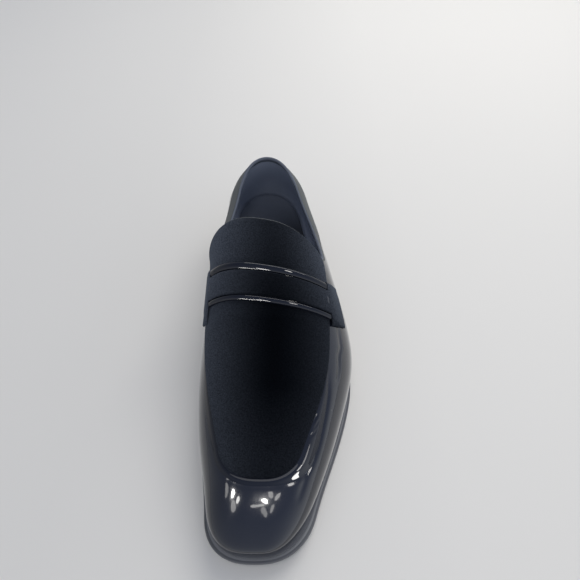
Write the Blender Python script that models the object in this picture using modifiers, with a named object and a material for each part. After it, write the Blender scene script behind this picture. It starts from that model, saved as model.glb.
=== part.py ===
"""A man's slip-on loafer, left shoe: patent upper, napped apron, tongue and saddle strap, leather sole.

Shapes are worked out in millimetres over the plan of the last: x to the lateral side, along from the
sole's toe tip to its heel, z up from the floor. The meshes are in metres, toe to -Y.
"""
import bmesh
import bpy
import numpy as np

MM = 0.001

# Mesh fineness: stations round the toe, down a side and round the heel, and rows of each surface
SOLE_STATIONS = (10, 26, 9)
UPPER_STATIONS = (10, 28, 10)
HEEL_STATIONS = (1, 12, 12)
BAND_ROWS, DOME_ROWS = 4, 10
PANEL_COLUMNS = 15
APRON_CAP_ROWS, APRON_ROWS = 8, 17
TONGUE_ROWS, TONGUE_CROWN_ROWS = 7, 7
SADDLE_STATIONS, STRAP_STATIONS, STRAP_LINES = 24, 30, 8
BEAD_POINTS = 6
FINE = 400

# Sole sizes, mm
SOLE_LENGTH = 298.0
OUTSOLE_THICK = 4.5
OUTSOLE_ROUND = 1.4
WELT_THICK = 2.4
WELT_STEP = 2.6
INSOLE_THICK = 3.4
GAP = 0.3
SOLE_TOE_DEPTH, SOLE_TOE_POWER = 26.0, 2.5
SOLE_HEEL_DEPTH, SOLE_HEEL_POWER = 36.0, 2.15
TREAD_START, TREAD_END = 78.0, 118.0
HEEL_BREAST = 222.0
HEEL_HEIGHT = 21.7
HEEL_TAPER = 2.4
HEEL_STEP = 0.8
TOP_LIFT = 6.0
LIFT_GROOVE, LIFT_GROOVE_DEPTH, LIFT_BEVEL = 0.8, 0.6, 0.1

# Upper sizes, mm
WALL = 1.8
UPPER_START, UPPER_END = 4.0, 295.0
UPPER_TOE_DEPTH, UPPER_TOE_POWER = 29.0, 3.0
UPPER_HEEL_DEPTH, UPPER_HEEL_POWER = 40.0, 2.0
THROAT, THROAT_DEPTH = 170.0, 18.0

# Overlay sizes, mm
LAY = 0.4
NAP_THICK = 1.3
APRON_FRONT, APRON_CAP, APRON_POWER = 38.7, 16.0, 2.6
APRON_MIDDLE = 3.0
PIECE_SKEW = 0.14
APRON_END = 152.0
TONGUE_START, TONGUE_END = 152.6, 198.0
TONGUE_CORNER, TONGUE_POWER, TONGUE_TURN = 16.0, 2.6, 80.0
TONGUE_FREE, TONGUE_SPREAD = 172.0, 4.0
BAND_FRONT, BAND_BACK = 141.3, 166.0
BAND_MEDIAL, BAND_LATERAL = -0.80, 0.70
BAND_THICK = 0.9
FRONT_BEAD_WIDTH, FRONT_BEAD_HEIGHT = 3.4, 2.2
BACK_BEAD_WIDTH, BACK_BEAD_HEIGHT = 4.8, 2.6
STRAP_THICK = 1.3
TAB_DROP_LATERAL, TAB_DROP_MEDIAL = (0.72, 0.81), (0.82, 0.90)


def table(columns, rows):
    """A short table as a dictionary of named columns."""
    return dict(zip(columns.split(), np.array(rows, float).T))


SOLE = table("along lateral medial", [
    (0.0, 28.5, 29.5),
    (30.0, 37.3, 32.6),
    (60.0, 49.2, 38.2),
    (90.0, 59.5, 41.4),
    (115.0, 63.6, 42.2),
    (150.0, 57.8, 39.6),
    (190.0, 46.4, 35.4),
    (225.0, 37.6, 31.6),
    (262.0, 33.0, 32.5),
    (298.0, 32.0, 32.0),
])

# Height of the outsole's underside: toe spring, tread, arch and heel seat
UNDERSIDE = table("along height", [
    (0.0, 8.5),
    (30.0, 3.2),
    (60.0, 0.6),
    (78.0, 0.0),
    (118.0, 0.0),
    (150.0, 3.6),
    (185.0, 13.2),
    (218.0, 20.2),
    (240.0, 21.6),
    (298.0, 22.0),
])

# Sections of the last: widest half widths, the ridge's place and height, the widest line's rise over
# the feather edge, the feather's tuck under it, and the powers that round the section above it
UPPER = table("along lateral medial ridge crest rise tuck flat_lateral flat_medial shoulder", [
    (4.0, 21.0, 26.0, 0.5, 26.5, 6.0, 1.0, 2.6, 2.6, 2.3),
    (33.0, 35.2, 30.6, 1.0, 35.0, 7.0, 1.6, 2.5, 2.5, 2.3),
    (60.0, 46.5, 36.8, 2.0, 41.5, 9.0, 2.2, 2.4, 2.4, 2.2),
    (90.0, 56.6, 41.2, 3.0, 49.0, 11.0, 2.8, 2.3, 2.4, 2.1),
    (120.0, 63.3, 42.8, 3.5, 57.0, 12.0, 3.2, 2.3, 2.5, 2.0),
    (150.0, 60.5, 42.2, 3.5, 67.0, 13.0, 4.5, 2.3, 2.8, 2.0),
    (175.0, 54.0, 41.0, 3.0, 77.5, 14.0, 6.0, 2.1, 3.0, 2.0),
    (200.0, 47.5, 39.0, 2.0, 88.5, 15.0, 6.5, 1.9, 3.0, 2.0),
    (230.0, 40.5, 34.0, 1.0, 97.0, 16.0, 6.5, 1.9, 2.2, 2.0),
    (255.0, 35.0, 32.0, 0.5, 95.0, 17.0, 6.0, 2.0, 2.0, 2.0),
    (295.0, 31.0, 31.0, 0.0, 91.0, 17.0, 4.5, 2.0, 2.0, 2.0),
])

# Height of the topline behind the throat, and the share of its width by which each quarter leans in there
TOPLINE = table("along height lean_lateral lean_medial", [
    (170.0, 58.5, 0.0, 0.0),
    (190.0, 58.5, 0.03, 0.07),
    (215.0, 58.5, 0.10, 0.16),
    (240.0, 61.0, 0.16, 0.22),
    (265.0, 66.5, 0.21, 0.26),
    (285.0, 72.3, 0.20, 0.21),
    (295.0, 74.2, 0.18, 0.18),
])

# Edges of the napped panel, apron and tongue alike
PANEL = table("along lateral medial", [
    (38.7, 21.3, 18.0),
    (56.0, 27.3, 22.4),
    (80.0, 36.3, 29.0),
    (105.0, 43.0, 35.0),
    (140.0, 45.4, 38.2),
    (170.0, 44.6, 37.8),
    (198.0, 41.5, 36.6),
])

# How far the napped strap reaches past the band's front and back edge, with the flare of its two tabs;
# across is the share of the half width, medial below zero
STRAP_REACH = table("across front back", [
    (-0.92, 8.5, 2.8),
    (-0.90, 10.2, 3.2),
    (-0.845, 10.6, 2.0),
    (-0.825, 7.0, 0.6),
    (-0.81, -3.8, -5.2),
    (0.706, -3.8, -5.2),
    (0.718, 2.9, 1.2),
    (0.82, 0.4, 4.4),
    (0.905, -2.9, 6.4),
])


def spline(rows, column, at):
    """Natural cubic spline through one column of a table, along its first column."""
    knots = next(iter(rows.values()))
    values = rows[column]
    count = len(knots)
    steps = np.diff(knots)
    system = np.eye(count)
    bends = np.zeros(count)
    for i in range(1, count - 1):
        system[i, i - 1:i + 2] = steps[i - 1], 2 * (steps[i - 1] + steps[i]), steps[i]
        bends[i] = 6 * ((values[i + 1] - values[i]) / steps[i] - (values[i] - values[i - 1]) / steps[i - 1])
    bends = np.linalg.solve(system, bends)
    at = np.asarray(at, float)
    i = np.clip(np.searchsorted(knots, at) - 1, 0, count - 2)
    a = (knots[i + 1] - at) / steps[i]
    b = (at - knots[i]) / steps[i]
    curve = (a**3 - a) * bends[i] + (b**3 - b) * bends[i + 1]
    return a * values[i] + b * values[i + 1] + curve * steps[i]**2 / 6


def smooth_step(t):
    t = np.clip(t, 0.0, 1.0)
    return t * t * (3 - 2 * t)


def underside(along):
    """Height of the outsole's underside, level under the tread."""
    tread = (along >= TREAD_START) & (along <= TREAD_END)
    return np.where(tread, 0.0, np.maximum(spline(UNDERSIDE, "height", along), 0.0))


def welt_base(along):
    return underside(along) + OUTSOLE_THICK + GAP


def feather(along):
    """Height of the upper's lower edge, on the welt."""
    return welt_base(along) + WELT_THICK + GAP


def stations(start, end, toe, toe_power, heel, heel_power, counts):
    """Share of the half width and place along the foot, round the toe, down the side and round the heel."""
    n_toe, n_side, n_heel = counts
    turn = np.radians(np.linspace(90, 0, n_toe, endpoint=False))
    side = np.linspace(start + toe, end - heel, n_side, endpoint=False)
    back = np.radians(np.linspace(0, 90, n_heel + 1))
    share = [np.cos(turn)**(2 / toe_power), np.ones(n_side), np.cos(back)**(2 / heel_power)]
    along = [start + toe * (1 - np.sin(turn)**(2 / toe_power)), side,
             end - heel * (1 - np.sin(back)**(2 / heel_power))]
    return np.concatenate(share), np.concatenate(along)


def sole_stations(inset, counts=SOLE_STATIONS):
    """Lateral x, medial x and place along the foot of the sole's outline, inset all round."""
    share, along = stations(inset, SOLE_LENGTH - inset, SOLE_TOE_DEPTH, SOLE_TOE_POWER,
                            SOLE_HEEL_DEPTH, SOLE_HEEL_POWER, counts)
    lateral = share * (spline(SOLE, "lateral", along) - inset)
    medial = -share * (spline(SOLE, "medial", along) - inset)
    return lateral, medial, along


def upper_stations():
    return stations(UPPER_START, UPPER_END, UPPER_TOE_DEPTH, UPPER_TOE_POWER,
                    UPPER_HEEL_DEPTH, UPPER_HEEL_POWER, UPPER_STATIONS)


def feather_stations(inset):
    """Lateral x, medial x and place along the foot inside the upper's lower edge."""
    share, along = upper_stations()
    lower = [upper_low(share, along, 0.0, side, inset) for side in (1, -1)]
    return lower[0][:, 0], lower[1][:, 0], lower[0][:, 1]


def fan_centre(along):
    """Centre that a station's section runs to: the ridge, or the pole of the toe's or the heel's fan."""
    return np.clip(along, UPPER_START + UPPER_TOE_DEPTH, UPPER_END - UPPER_HEEL_DEPTH)


def half_width(along, side):
    ridge = spline(UPPER, "ridge", along)
    return np.where(side > 0, spline(UPPER, "lateral", along) - ridge, spline(UPPER, "medial", along) + ridge)


def upper_low(share, along, height, side, inset=0.0):
    """Band under the widest line: inset = tuck (1 - height)^2, height from 0 at the feather to 1."""
    tuck = spline(UPPER, "tuck", along) * (1 - height)**2 + inset
    half = half_width(along, side)
    centre = fan_centre(along)
    reach = np.where(along < centre, UPPER_TOE_DEPTH, np.where(along > centre, UPPER_HEEL_DEPTH, half))
    x = spline(UPPER, "ridge", along) + side * share * (half - tuck)
    y = centre + (along - centre) * (1 - tuck / reach)
    z = feather(along) + spline(UPPER, "rise", along) * height
    return np.stack(np.broadcast_arrays(x, y, z), -1)


def section_height(along, reach, flat):
    """z = widest + (crest - widest) (1 - reach^flat)^(1 / shoulder), reach 1 at the side, 0 at the ridge."""
    widest = feather(along) + spline(UPPER, "rise", along)
    crest = spline(UPPER, "crest", along)
    full = np.clip(1 - reach**flat, 0, 1)**(1 / spline(UPPER, "shoulder", along))
    return widest + (crest - widest) * full


def upper_dome(share, along, reach, side):
    """Points of one station's section from the widest line, reach 1, to the ridge or pole, reach 0.

    Round the toe and the heel both sides' powers run to their mean, so that they meet on the middle line. A
    quarter leans in by its lean times (height over the widest line / the topline's height over it)^3.
    """
    centre = fan_centre(along)
    y = centre + reach * (along - centre)
    name = "lateral" if side > 0 else "medial"
    mean = (spline(UPPER, "flat_lateral", y) + spline(UPPER, "flat_medial", y)) / 2
    z = section_height(y, reach, mean + share * (spline(UPPER, "flat_" + name, y) - mean))
    widest = feather(y) + spline(UPPER, "rise", y)
    behind = np.maximum(y, THROAT)
    climb = np.clip((z - widest) / (spline(TOPLINE, "height", behind) - widest), 0, 1)
    lean = spline(TOPLINE, "lean_" + name, behind) * climb**3
    x = spline(UPPER, "ridge", y) + side * reach * share * half_width(y, side) * (1 - lean)
    return np.stack(np.broadcast_arrays(x, y, z), -1)


def last_height(x, along):
    """Height of the upper's outside over a point of the plan behind the toe's pole."""
    from_ridge = x - spline(UPPER, "ridge", along)
    lateral = from_ridge > 0
    reach = np.abs(from_ridge) / half_width(along, np.where(lateral, 1, -1))
    flat = np.where(lateral, spline(UPPER, "flat_lateral", along), spline(UPPER, "flat_medial", along))
    return section_height(along, np.clip(reach, 0, 1), flat)


def on_last(x, along, lift):
    """Points over the plan, raised by a lift along the surface's normal."""
    probe = 0.2
    z = last_height(x, along)
    slope_x = (last_height(x + probe, along) - last_height(x - probe, along)) / (2 * probe)
    slope_y = (last_height(x, along + probe) - last_height(x, along - probe)) / (2 * probe)
    normal = np.stack([-slope_x, -slope_y, np.ones_like(z)], -1)
    normal /= np.linalg.norm(normal, axis=-1, keepdims=True)
    return np.stack([x, along, z], -1) + normal * np.asarray(lift)[..., None]


def evenly(points, count):
    """A line of points resampled at equal lengths."""
    length = np.concatenate([[0.0], np.cumsum(np.linalg.norm(np.diff(points, axis=0), axis=1))])
    at = np.linspace(0, length[-1], count)
    return np.stack([np.interp(at, length, points[:, k]) for k in range(points.shape[1])], -1)


def top_reach(share, along, side):
    """Reach at which a quarter station stops: at the topline's height, rounding up to the ridge at the throat."""
    reach = np.linspace(1.0, 0.0, FINE)
    heights = upper_dome(share, along, reach, side)[:, 2]
    at_topline = np.interp(spline(TOPLINE, "height", along), heights, reach)
    opened = np.clip((along - THROAT) / THROAT_DEPTH, 0.0, 1.0)
    return at_topline * np.sqrt(1 - (1 - opened)**2)


def upper_column(share, along, side):
    """One station's outside, from the feather edge to the topline, the ridge or the pole."""
    band = upper_low(share, along, np.linspace(0, 1, BAND_ROWS)[:-1], side)
    stop = top_reach(share, along, side) if along > THROAT else 0.0
    lean = np.linspace(0, np.pi / 2, FINE)
    dome = upper_dome(share, along, stop + (1 - stop) * np.cos(lean), side)
    return np.concatenate([band, evenly(dome, DOME_ROWS)])


def grid_faces(rows, columns, first=0, flip=False):
    """Quads of a grid whose points are listed row by row."""
    faces = []
    for r in range(rows - 1):
        for c in range(columns - 1):
            a = first + r * columns + c
            quad = (a, a + 1, a + columns + 1, a + columns)
            faces.append(quad[::-1] if flip else quad)
    return faces


def make_object(name, points, faces, colour, roughness, coat=0.0):
    """One named mesh object with its own material; points that coincide at seams and poles are merged."""
    mesh = bpy.data.meshes.new(name)
    mesh.from_pydata((np.asarray(points) * MM).tolist(), [], faces)
    work = bmesh.new()
    work.from_mesh(mesh)
    bmesh.ops.remove_doubles(work, verts=work.verts, dist=0.01 * MM)
    work.to_mesh(mesh)
    work.free()
    mesh.shade_smooth()
    mesh.set_sharp_from_angle(angle=np.radians(40))
    material = bpy.data.materials.new(name)
    material.use_nodes = True
    shader = material.node_tree.nodes["Principled BSDF"]
    shader.inputs["Base Color"].default_value = (*colour, 1.0)
    shader.inputs["Roughness"].default_value = roughness
    shader.inputs["Coat Weight"].default_value = coat
    mesh.materials.append(material)
    piece = bpy.data.objects.new(name, mesh)
    shoe.objects.link(piece)
    piece.parent = stand
    return piece


def thicken(piece, thickness, outward):
    """Gives an open surface its wall, outwards or inwards."""
    wall = piece.modifiers.new("wall", "SOLIDIFY")
    wall.thickness = thickness * MM
    wall.offset = 1.0 if outward else -1.0
    wall.use_quality_normals = True


def closed_outline(lateral, medial, along, height):
    """A closed ring: down the lateral side from toe to heel, and back up the medial side."""
    right = np.stack([lateral, along, height], -1)
    left = np.stack([medial, along, height], -1)
    return np.concatenate([right, left[::-1]])


def plate(name, rings, colour, roughness):
    """A solid through outlines stacked upwards, closed below and above by strips across the foot."""
    count = len(rings[0])
    half = count // 2
    points = np.concatenate(rings)
    faces = []
    for level in range(len(rings) - 1):
        low = level * count
        for i in range(count):
            j = (i + 1) % count
            faces.append((low + i, low + j, low + count + j, low + count + i))
    top = (len(rings) - 1) * count
    for i in range(half - 1):
        across = (i, count - 1 - i, count - 2 - i, i + 1)
        faces.append(across)
        faces.append(tuple(top + k for k in reversed(across)))
    return make_object(name, points, faces, colour, roughness)


def make_outsole():
    """Bent leather plate with a rounded edge."""
    levels = [(OUTSOLE_ROUND, 0.0), (0.0, OUTSOLE_ROUND), (0.0, OUTSOLE_THICK - OUTSOLE_ROUND),
              (OUTSOLE_ROUND, OUTSOLE_THICK)]
    rings = []
    for inset, height in levels:
        lateral, medial, along = sole_stations(inset)
        rings.append(closed_outline(lateral, medial, along, underside(along) + height))
    return plate("outsole", rings, (0.02, 0.02, 0.022), 0.45)


def make_heel():
    """Heel block from the floor to the seat, narrower below, with a groove over its top lift."""
    share, along = stations(HEEL_BREAST, SOLE_LENGTH, 0.0, 2.0, SOLE_HEEL_DEPTH, SOLE_HEEL_POWER, HEEL_STATIONS)
    share, along = share[1:], along[1:]
    over_lift = HEEL_STEP + HEEL_TAPER * (1 - TOP_LIFT / HEEL_HEIGHT)
    levels = [(HEEL_STEP + HEEL_TAPER, 0.0), (over_lift, TOP_LIFT),
              (over_lift + LIFT_GROOVE_DEPTH, TOP_LIFT + LIFT_BEVEL),
              (over_lift + LIFT_GROOVE_DEPTH, TOP_LIFT + LIFT_GROOVE),
              (over_lift, TOP_LIFT + LIFT_GROOVE + LIFT_BEVEL), (HEEL_STEP, None)]
    rings = []
    for inset, height in levels:
        lateral = share * (spline(SOLE, "lateral", along) - inset)
        medial = -share * (spline(SOLE, "medial", along) - inset)
        place = HEEL_BREAST + (along - HEEL_BREAST) * (1 - inset / (SOLE_LENGTH - HEEL_BREAST))
        top = underside(place) - GAP
        rings.append(closed_outline(lateral, medial, place, top if height is None else np.full_like(place, height)))
    return plate("heel", rings, (0.016, 0.016, 0.018), 0.5)


def make_ring(name, outer, inner, base, thickness, colour, roughness):
    """A flat ring between two outlines of equal station counts, following the sole's bend."""
    corners = []
    for outline, height in ((outer, 0.0), (outer, thickness), (inner, thickness), (inner, 0.0)):
        lateral, medial, along = outline
        corners.append(closed_outline(lateral, medial, along, base(along) + height))
    count = len(corners[0])
    faces = []
    for level in range(4):
        low, high = level * count, (level + 1) % 4 * count
        for i in range(count):
            j = (i + 1) % count
            faces.append((low + i, low + j, high + j, high + i))
    return make_object(name, np.concatenate(corners), faces, colour, roughness)


def make_welt():
    """Strip on the outsole that the upper's edge stands on."""
    outer = sole_stations(WELT_STEP, UPPER_STATIONS)
    inner = feather_stations(WALL + GAP)
    return make_ring("welt", outer, inner, welt_base, WELT_THICK, (0.012, 0.012, 0.013), 0.55)


def make_insole():
    """Footbed inside the welt and the upper's lower edge."""
    lateral, medial, along = feather_stations(WALL + 2 * GAP)
    rings = [closed_outline(lateral, medial, along, welt_base(along) + height) for height in (0.0, INSOLE_THICK)]
    return plate("insole", rings, (0.05, 0.055, 0.065), 0.6)


def make_upper():
    """Vamp and quarters: one shell over the last, open at the collar, the throat and underneath."""
    share, along = upper_stations()
    points = []
    faces = []
    for side in (1, -1):
        columns = np.array([upper_column(s, a, side) for s, a in zip(share, along)])
        faces += grid_faces(*columns.shape[:2], first=len(points), flip=side > 0)
        points += columns.reshape(-1, 3).tolist()
    upper = make_object("upper", points, faces, (0.008, 0.008, 0.01), 0.08, coat=1.0)
    thicken(upper, WALL, outward=False)
    return upper


def panel_row(along, width):
    """Line across the panel at one place, skewed with the foot; width is the share of the panel's own.

    Behind the strap the tongue's medial edge spreads away from the last.
    """
    lateral = APRON_MIDDLE + (spline(PANEL, "lateral", along) - APRON_MIDDLE) * width
    medial = APRON_MIDDLE - (spline(PANEL, "medial", along) + APRON_MIDDLE) * width
    x = np.linspace(medial, lateral, FINE)
    skew = smooth_step((along - APRON_FRONT - APRON_CAP) / (APRON_END - APRON_FRONT - APRON_CAP))
    y = along - PIECE_SKEW * skew * (x - APRON_MIDDLE)
    to_medial = np.clip((APRON_MIDDLE - x) / (APRON_MIDDLE + spline(PANEL, "medial", along)), 0.0, 1.0)
    spread = TONGUE_SPREAD * smooth_step((along - TONGUE_FREE) / (TONGUE_END - TONGUE_FREE)) * to_medial**2
    return evenly(on_last(x, y, LAY + spread), PANEL_COLUMNS)


def napped_panel(name, widths, places, colour):
    """A napped skin on the upper, one line across it for each place along the foot."""
    lines = np.array([panel_row(place, width) for width, place in zip(widths, places)])
    piece = make_object(name, lines.reshape(-1, 3), grid_faces(len(lines), PANEL_COLUMNS), colour, 0.95)
    thicken(piece, NAP_THICK, outward=True)
    return piece


def make_apron():
    """Plug on the vamp, with a rounded front, ending under the strap."""
    turn = np.radians(np.linspace(90, 0, APRON_CAP_ROWS, endpoint=False))
    widths = np.concatenate([np.cos(turn)**(2 / APRON_POWER), np.ones(APRON_ROWS)])
    cap = APRON_FRONT + APRON_CAP * (1 - np.sin(turn)**(2 / APRON_POWER))
    places = np.concatenate([cap, np.linspace(APRON_FRONT + APRON_CAP, APRON_END, APRON_ROWS)])
    return napped_panel("apron", widths, places, (0.012, 0.012, 0.016))


def make_tongue():
    """Tongue behind the strap, its top corners rounded."""
    turn = np.radians(np.linspace(0, TONGUE_TURN, TONGUE_CROWN_ROWS))
    widths = np.concatenate([np.ones(TONGUE_ROWS), np.cos(turn)**(2 / TONGUE_POWER)])
    crown = TONGUE_END - TONGUE_CORNER * (1 - np.sin(turn)**(2 / TONGUE_POWER))
    sides = np.linspace(TONGUE_START, TONGUE_END - TONGUE_CORNER, TONGUE_ROWS, endpoint=False)
    places = np.concatenate([sides, crown])
    return napped_panel("tongue", widths, places, (0.014, 0.014, 0.018))


def bead(width, height):
    """Half-round profile of a raised edge: place across it and height."""
    turn = np.radians(np.linspace(180, 0, BEAD_POINTS))
    return [(width / 2 * (1 + np.cos(t)), BAND_THICK + (height - BAND_THICK) * np.sin(t)) for t in turn]


def on_saddle(across, place, lift):
    """Points of the saddle: across is the share of the half width, place is behind the band's front edge."""
    middle = (BAND_FRONT + BAND_BACK) / 2
    skew = PIECE_SKEW * across * half_width(middle, across)
    along = BAND_FRONT + place - skew
    x = spline(UPPER, "ridge", along) + across * half_width(along, across)
    return on_last(x, along, np.broadcast_to(lift, x.shape))


def saddle_stations(start, end, count):
    """Shares of the half width at equal lengths across the saddle."""
    fine = np.linspace(start, end, FINE)
    line = on_saddle(fine, (BAND_BACK - BAND_FRONT) / 2, 0.0)
    return evenly(np.column_stack([line, fine * MM]), count)[:, 3] / MM


def make_strap_base():
    """Patent saddle band across the apron, with a raised bead along its front and its back edge."""
    depth = BAND_BACK - BAND_FRONT
    front = bead(FRONT_BEAD_WIDTH, FRONT_BEAD_HEIGHT)
    back = [(depth - BACK_BEAD_WIDTH + place, height) for place, height in bead(BACK_BEAD_WIDTH, BACK_BEAD_HEIGHT)]
    under = [(depth * share, 0.0) for share in (1.0, 0.75, 0.5, 0.25, 0.0)]
    profile = front + back + under
    base_lift = LAY + NAP_THICK + GAP
    across = saddle_stations(BAND_MEDIAL, BAND_LATERAL, SADDLE_STATIONS)
    rings = np.array([on_saddle(across, place, base_lift + height) for place, height in profile]).transpose(1, 0, 2)
    count = len(profile)
    faces = []
    for i in range(len(rings) - 1):
        for j in range(count):
            k = (j + 1) % count
            faces.append((i * count + j, (i + 1) * count + j, (i + 1) * count + k, i * count + k))
    last = (len(rings) - 1) * count
    faces += [tuple(range(count)), tuple(reversed(range(last, last + count)))]
    return make_object("strap_base", rings.reshape(-1, 3), faces, (0.008, 0.008, 0.01), 0.08, coat=1.0)


def make_strap():
    """Napped saddle strap between the beads, with a tab down on the lateral side and one over the apron's edge."""
    knots = STRAP_REACH["across"]
    across = np.unique(np.concatenate([saddle_stations(knots[0], knots[-1], STRAP_STATIONS), knots]))
    drop = np.where(across > 0, (across - TAB_DROP_LATERAL[0]) / np.ptp(TAB_DROP_LATERAL),
                    (-across - TAB_DROP_MEDIAL[0]) / np.ptp(TAB_DROP_MEDIAL))
    over_apron = LAY + NAP_THICK + GAP
    over_band = over_apron + BAND_THICK + GAP
    rest = np.where(across > 0, LAY, over_apron)
    lift = over_band + (rest - over_band) * smooth_step(drop)
    front = -np.interp(across, knots, STRAP_REACH["front"])
    back = BAND_BACK - BAND_FRONT + np.interp(across, knots, STRAP_REACH["back"])
    lines = [on_saddle(across, front + (back - front) * share, lift) for share in np.linspace(0, 1, STRAP_LINES)]
    faces = grid_faces(len(lines), len(across))
    strap = make_object("strap", np.concatenate(lines), faces, (0.012, 0.012, 0.016), 0.95)
    thicken(strap, STRAP_THICK, outward=True)
    return strap


def centre_on_floor():
    """Moves the stand so that the shoe's box is centred over the origin and sits on the floor."""
    bpy.context.view_layer.update()
    graph = bpy.context.evaluated_depsgraph_get()
    points = []
    for piece in shoe.objects:
        if piece.type == "MESH":
            evaluated = piece.evaluated_get(graph)
            points += [evaluated.matrix_world @ vertex.co for vertex in evaluated.data.vertices]
    points = np.array(points)
    low, high = points.min(0), points.max(0)
    stand.location = (-(low[0] + high[0]) / 2, -(low[1] + high[1]) / 2, -low[2])


for item in list(bpy.data.objects):
    bpy.data.objects.remove(item, do_unlink=True)
shoe = bpy.data.collections.new("loafer")
bpy.context.scene.collection.children.link(shoe)
stand = bpy.data.objects.new("stand", None)
shoe.objects.link(stand)
make_outsole()
make_heel()
make_welt()
make_insole()
make_upper()
make_apron()
make_tongue()
make_strap_base()
make_strap()
centre_on_floor()
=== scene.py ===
"""Looks of a slip-on loafer, a left shoe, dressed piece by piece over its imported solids.

Shapes are worked out in millimetres over the plan of the last, as the solids are: x to the lateral side,
along from the sole's toe tip to its heel, z up from the floor.
"""

import bmesh
import bpy
import numpy as np
from mathutils import Matrix


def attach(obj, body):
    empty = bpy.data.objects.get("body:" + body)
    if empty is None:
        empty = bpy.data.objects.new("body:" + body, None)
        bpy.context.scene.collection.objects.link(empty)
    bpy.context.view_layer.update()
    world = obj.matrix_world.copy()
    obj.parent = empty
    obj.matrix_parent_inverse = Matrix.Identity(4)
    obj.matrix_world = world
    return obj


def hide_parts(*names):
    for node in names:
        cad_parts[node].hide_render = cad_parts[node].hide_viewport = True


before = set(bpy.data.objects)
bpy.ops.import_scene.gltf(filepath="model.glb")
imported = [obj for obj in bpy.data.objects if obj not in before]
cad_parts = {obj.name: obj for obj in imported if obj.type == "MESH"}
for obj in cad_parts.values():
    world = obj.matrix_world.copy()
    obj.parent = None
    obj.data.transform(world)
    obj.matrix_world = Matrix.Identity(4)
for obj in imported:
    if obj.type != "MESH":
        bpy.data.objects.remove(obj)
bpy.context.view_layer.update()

# Insole: a leather board cut to the last's sole and tacked to it before anything else. A thin sock of
# the lining's leather is glued on top and turned up where it meets the lining. Its colour holds painted
# shade: darker to the front and low down, lighter towards the heel and higher up.
MM = 0.001
PLAN_CENTRE = (10.4, 149.0, 0.0)
OUTSOLE_THICK, WELT_THICK, INSOLE_THICK, GAP = 4.5, 2.4, 3.4, 0.3
UPPER_START, UPPER_END = 4.0, 295.0
TOE_FAN, TOE_POWER, HEEL_FAN, HEEL_POWER = 29.0, 3.0, 40.0, 2.0
UPPER_ENDS = (UPPER_START, UPPER_END, TOE_FAN, TOE_POWER, HEEL_FAN, HEEL_POWER)
WALL = 1.8
MERGE, SLIVER, SHARP_EDGE = 0.005, 0.002, 50.0
SOCK_COUNTS = (40, 150, 40)


def table(columns, rows):
    """A short table as a dictionary of named columns."""
    return dict(zip(columns.split(), np.array(rows, float).T))


# Height of the outsole's underside: toe spring, tread, arch and heel seat
UNDERSIDE = table("along height", [
    (0.0, 8.5), (30.0, 3.2), (60.0, 0.6), (78.0, 0.0), (118.0, 0.0),
    (150.0, 3.6), (185.0, 13.2), (218.0, 20.2), (240.0, 21.6), (298.0, 22.0),
])
TREAD_START, TREAD_END = 78.0, 118.0

# Sections of the last: widest half widths, the ridge's place and height, the widest line's rise over
# the feather edge, the feather's tuck under it, and the powers that round the section above it
LAST = table("along lateral medial ridge crest rise tuck flat_lateral flat_medial shoulder", [
    (4.0, 21.0, 26.0, 0.5, 26.5, 6.0, 1.0, 2.6, 2.6, 2.3),
    (33.0, 35.2, 30.6, 1.0, 35.0, 7.0, 1.6, 2.5, 2.5, 2.3),
    (60.0, 46.5, 36.8, 2.0, 41.5, 9.0, 2.2, 2.4, 2.4, 2.2),
    (90.0, 56.6, 41.2, 3.0, 49.0, 11.0, 2.8, 2.3, 2.4, 2.1),
    (120.0, 63.3, 42.8, 3.5, 57.0, 12.0, 3.2, 2.3, 2.5, 2.0),
    (150.0, 60.5, 42.2, 3.5, 67.0, 13.0, 4.5, 2.3, 2.8, 2.0),
    (175.0, 54.0, 41.0, 3.0, 77.5, 14.0, 6.0, 2.1, 3.0, 2.0),
    (200.0, 47.5, 39.0, 2.0, 88.5, 15.0, 6.5, 1.9, 3.0, 2.0),
    (230.0, 40.5, 34.0, 1.0, 97.0, 16.0, 6.5, 1.9, 2.2, 2.0),
    (255.0, 35.0, 32.0, 0.5, 95.0, 17.0, 6.0, 2.0, 2.0, 2.0),
    (295.0, 31.0, 31.0, 0.0, 91.0, 17.0, 4.5, 2.0, 2.0, 2.0),
])


def spline(rows, column, at):
    """Natural cubic spline through one column of a table, along its first column."""
    knots = next(iter(rows.values()))
    values = rows[column]
    steps = np.diff(knots)
    slopes = np.diff(values) / steps
    system = np.eye(len(knots))
    inner = np.arange(1, len(knots) - 1)
    system[inner, inner - 1] = steps[:-1]
    system[inner, inner] = 2 * (steps[:-1] + steps[1:])
    system[inner, inner + 1] = steps[1:]
    bends = np.linalg.solve(system, np.concatenate([[0.0], 6 * np.diff(slopes), [0.0]]))
    at = np.asarray(at, float)
    i = np.clip(np.searchsorted(knots, at) - 1, 0, len(knots) - 2)
    a = (knots[i + 1] - at) / steps[i]
    b = (at - knots[i]) / steps[i]
    curve = (a**3 - a) * bends[i] + (b**3 - b) * bends[i + 1]
    return a * values[i] + b * values[i + 1] + curve * steps[i]**2 / 6


def smooth_step(t):
    """0 below 0, 1 above 1, and 3 t^2 - 2 t^3 between."""
    t = np.clip(t, 0.0, 1.0)
    return t * t * (3 - 2 * t)


def underside(along):
    """Height of the outsole's underside, level under the tread."""
    tread = (along >= TREAD_START) & (along <= TREAD_END)
    return np.where(tread, 0.0, np.maximum(spline(UNDERSIDE, "height", along), 0.0))


def welt_base(along):
    """Height of the welt's underside, a gap over the outsole."""
    return underside(along) + OUTSOLE_THICK + GAP


def feather(along):
    """Height of the upper's lower edge, on the welt."""
    return welt_base(along) + WELT_THICK + GAP


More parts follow.
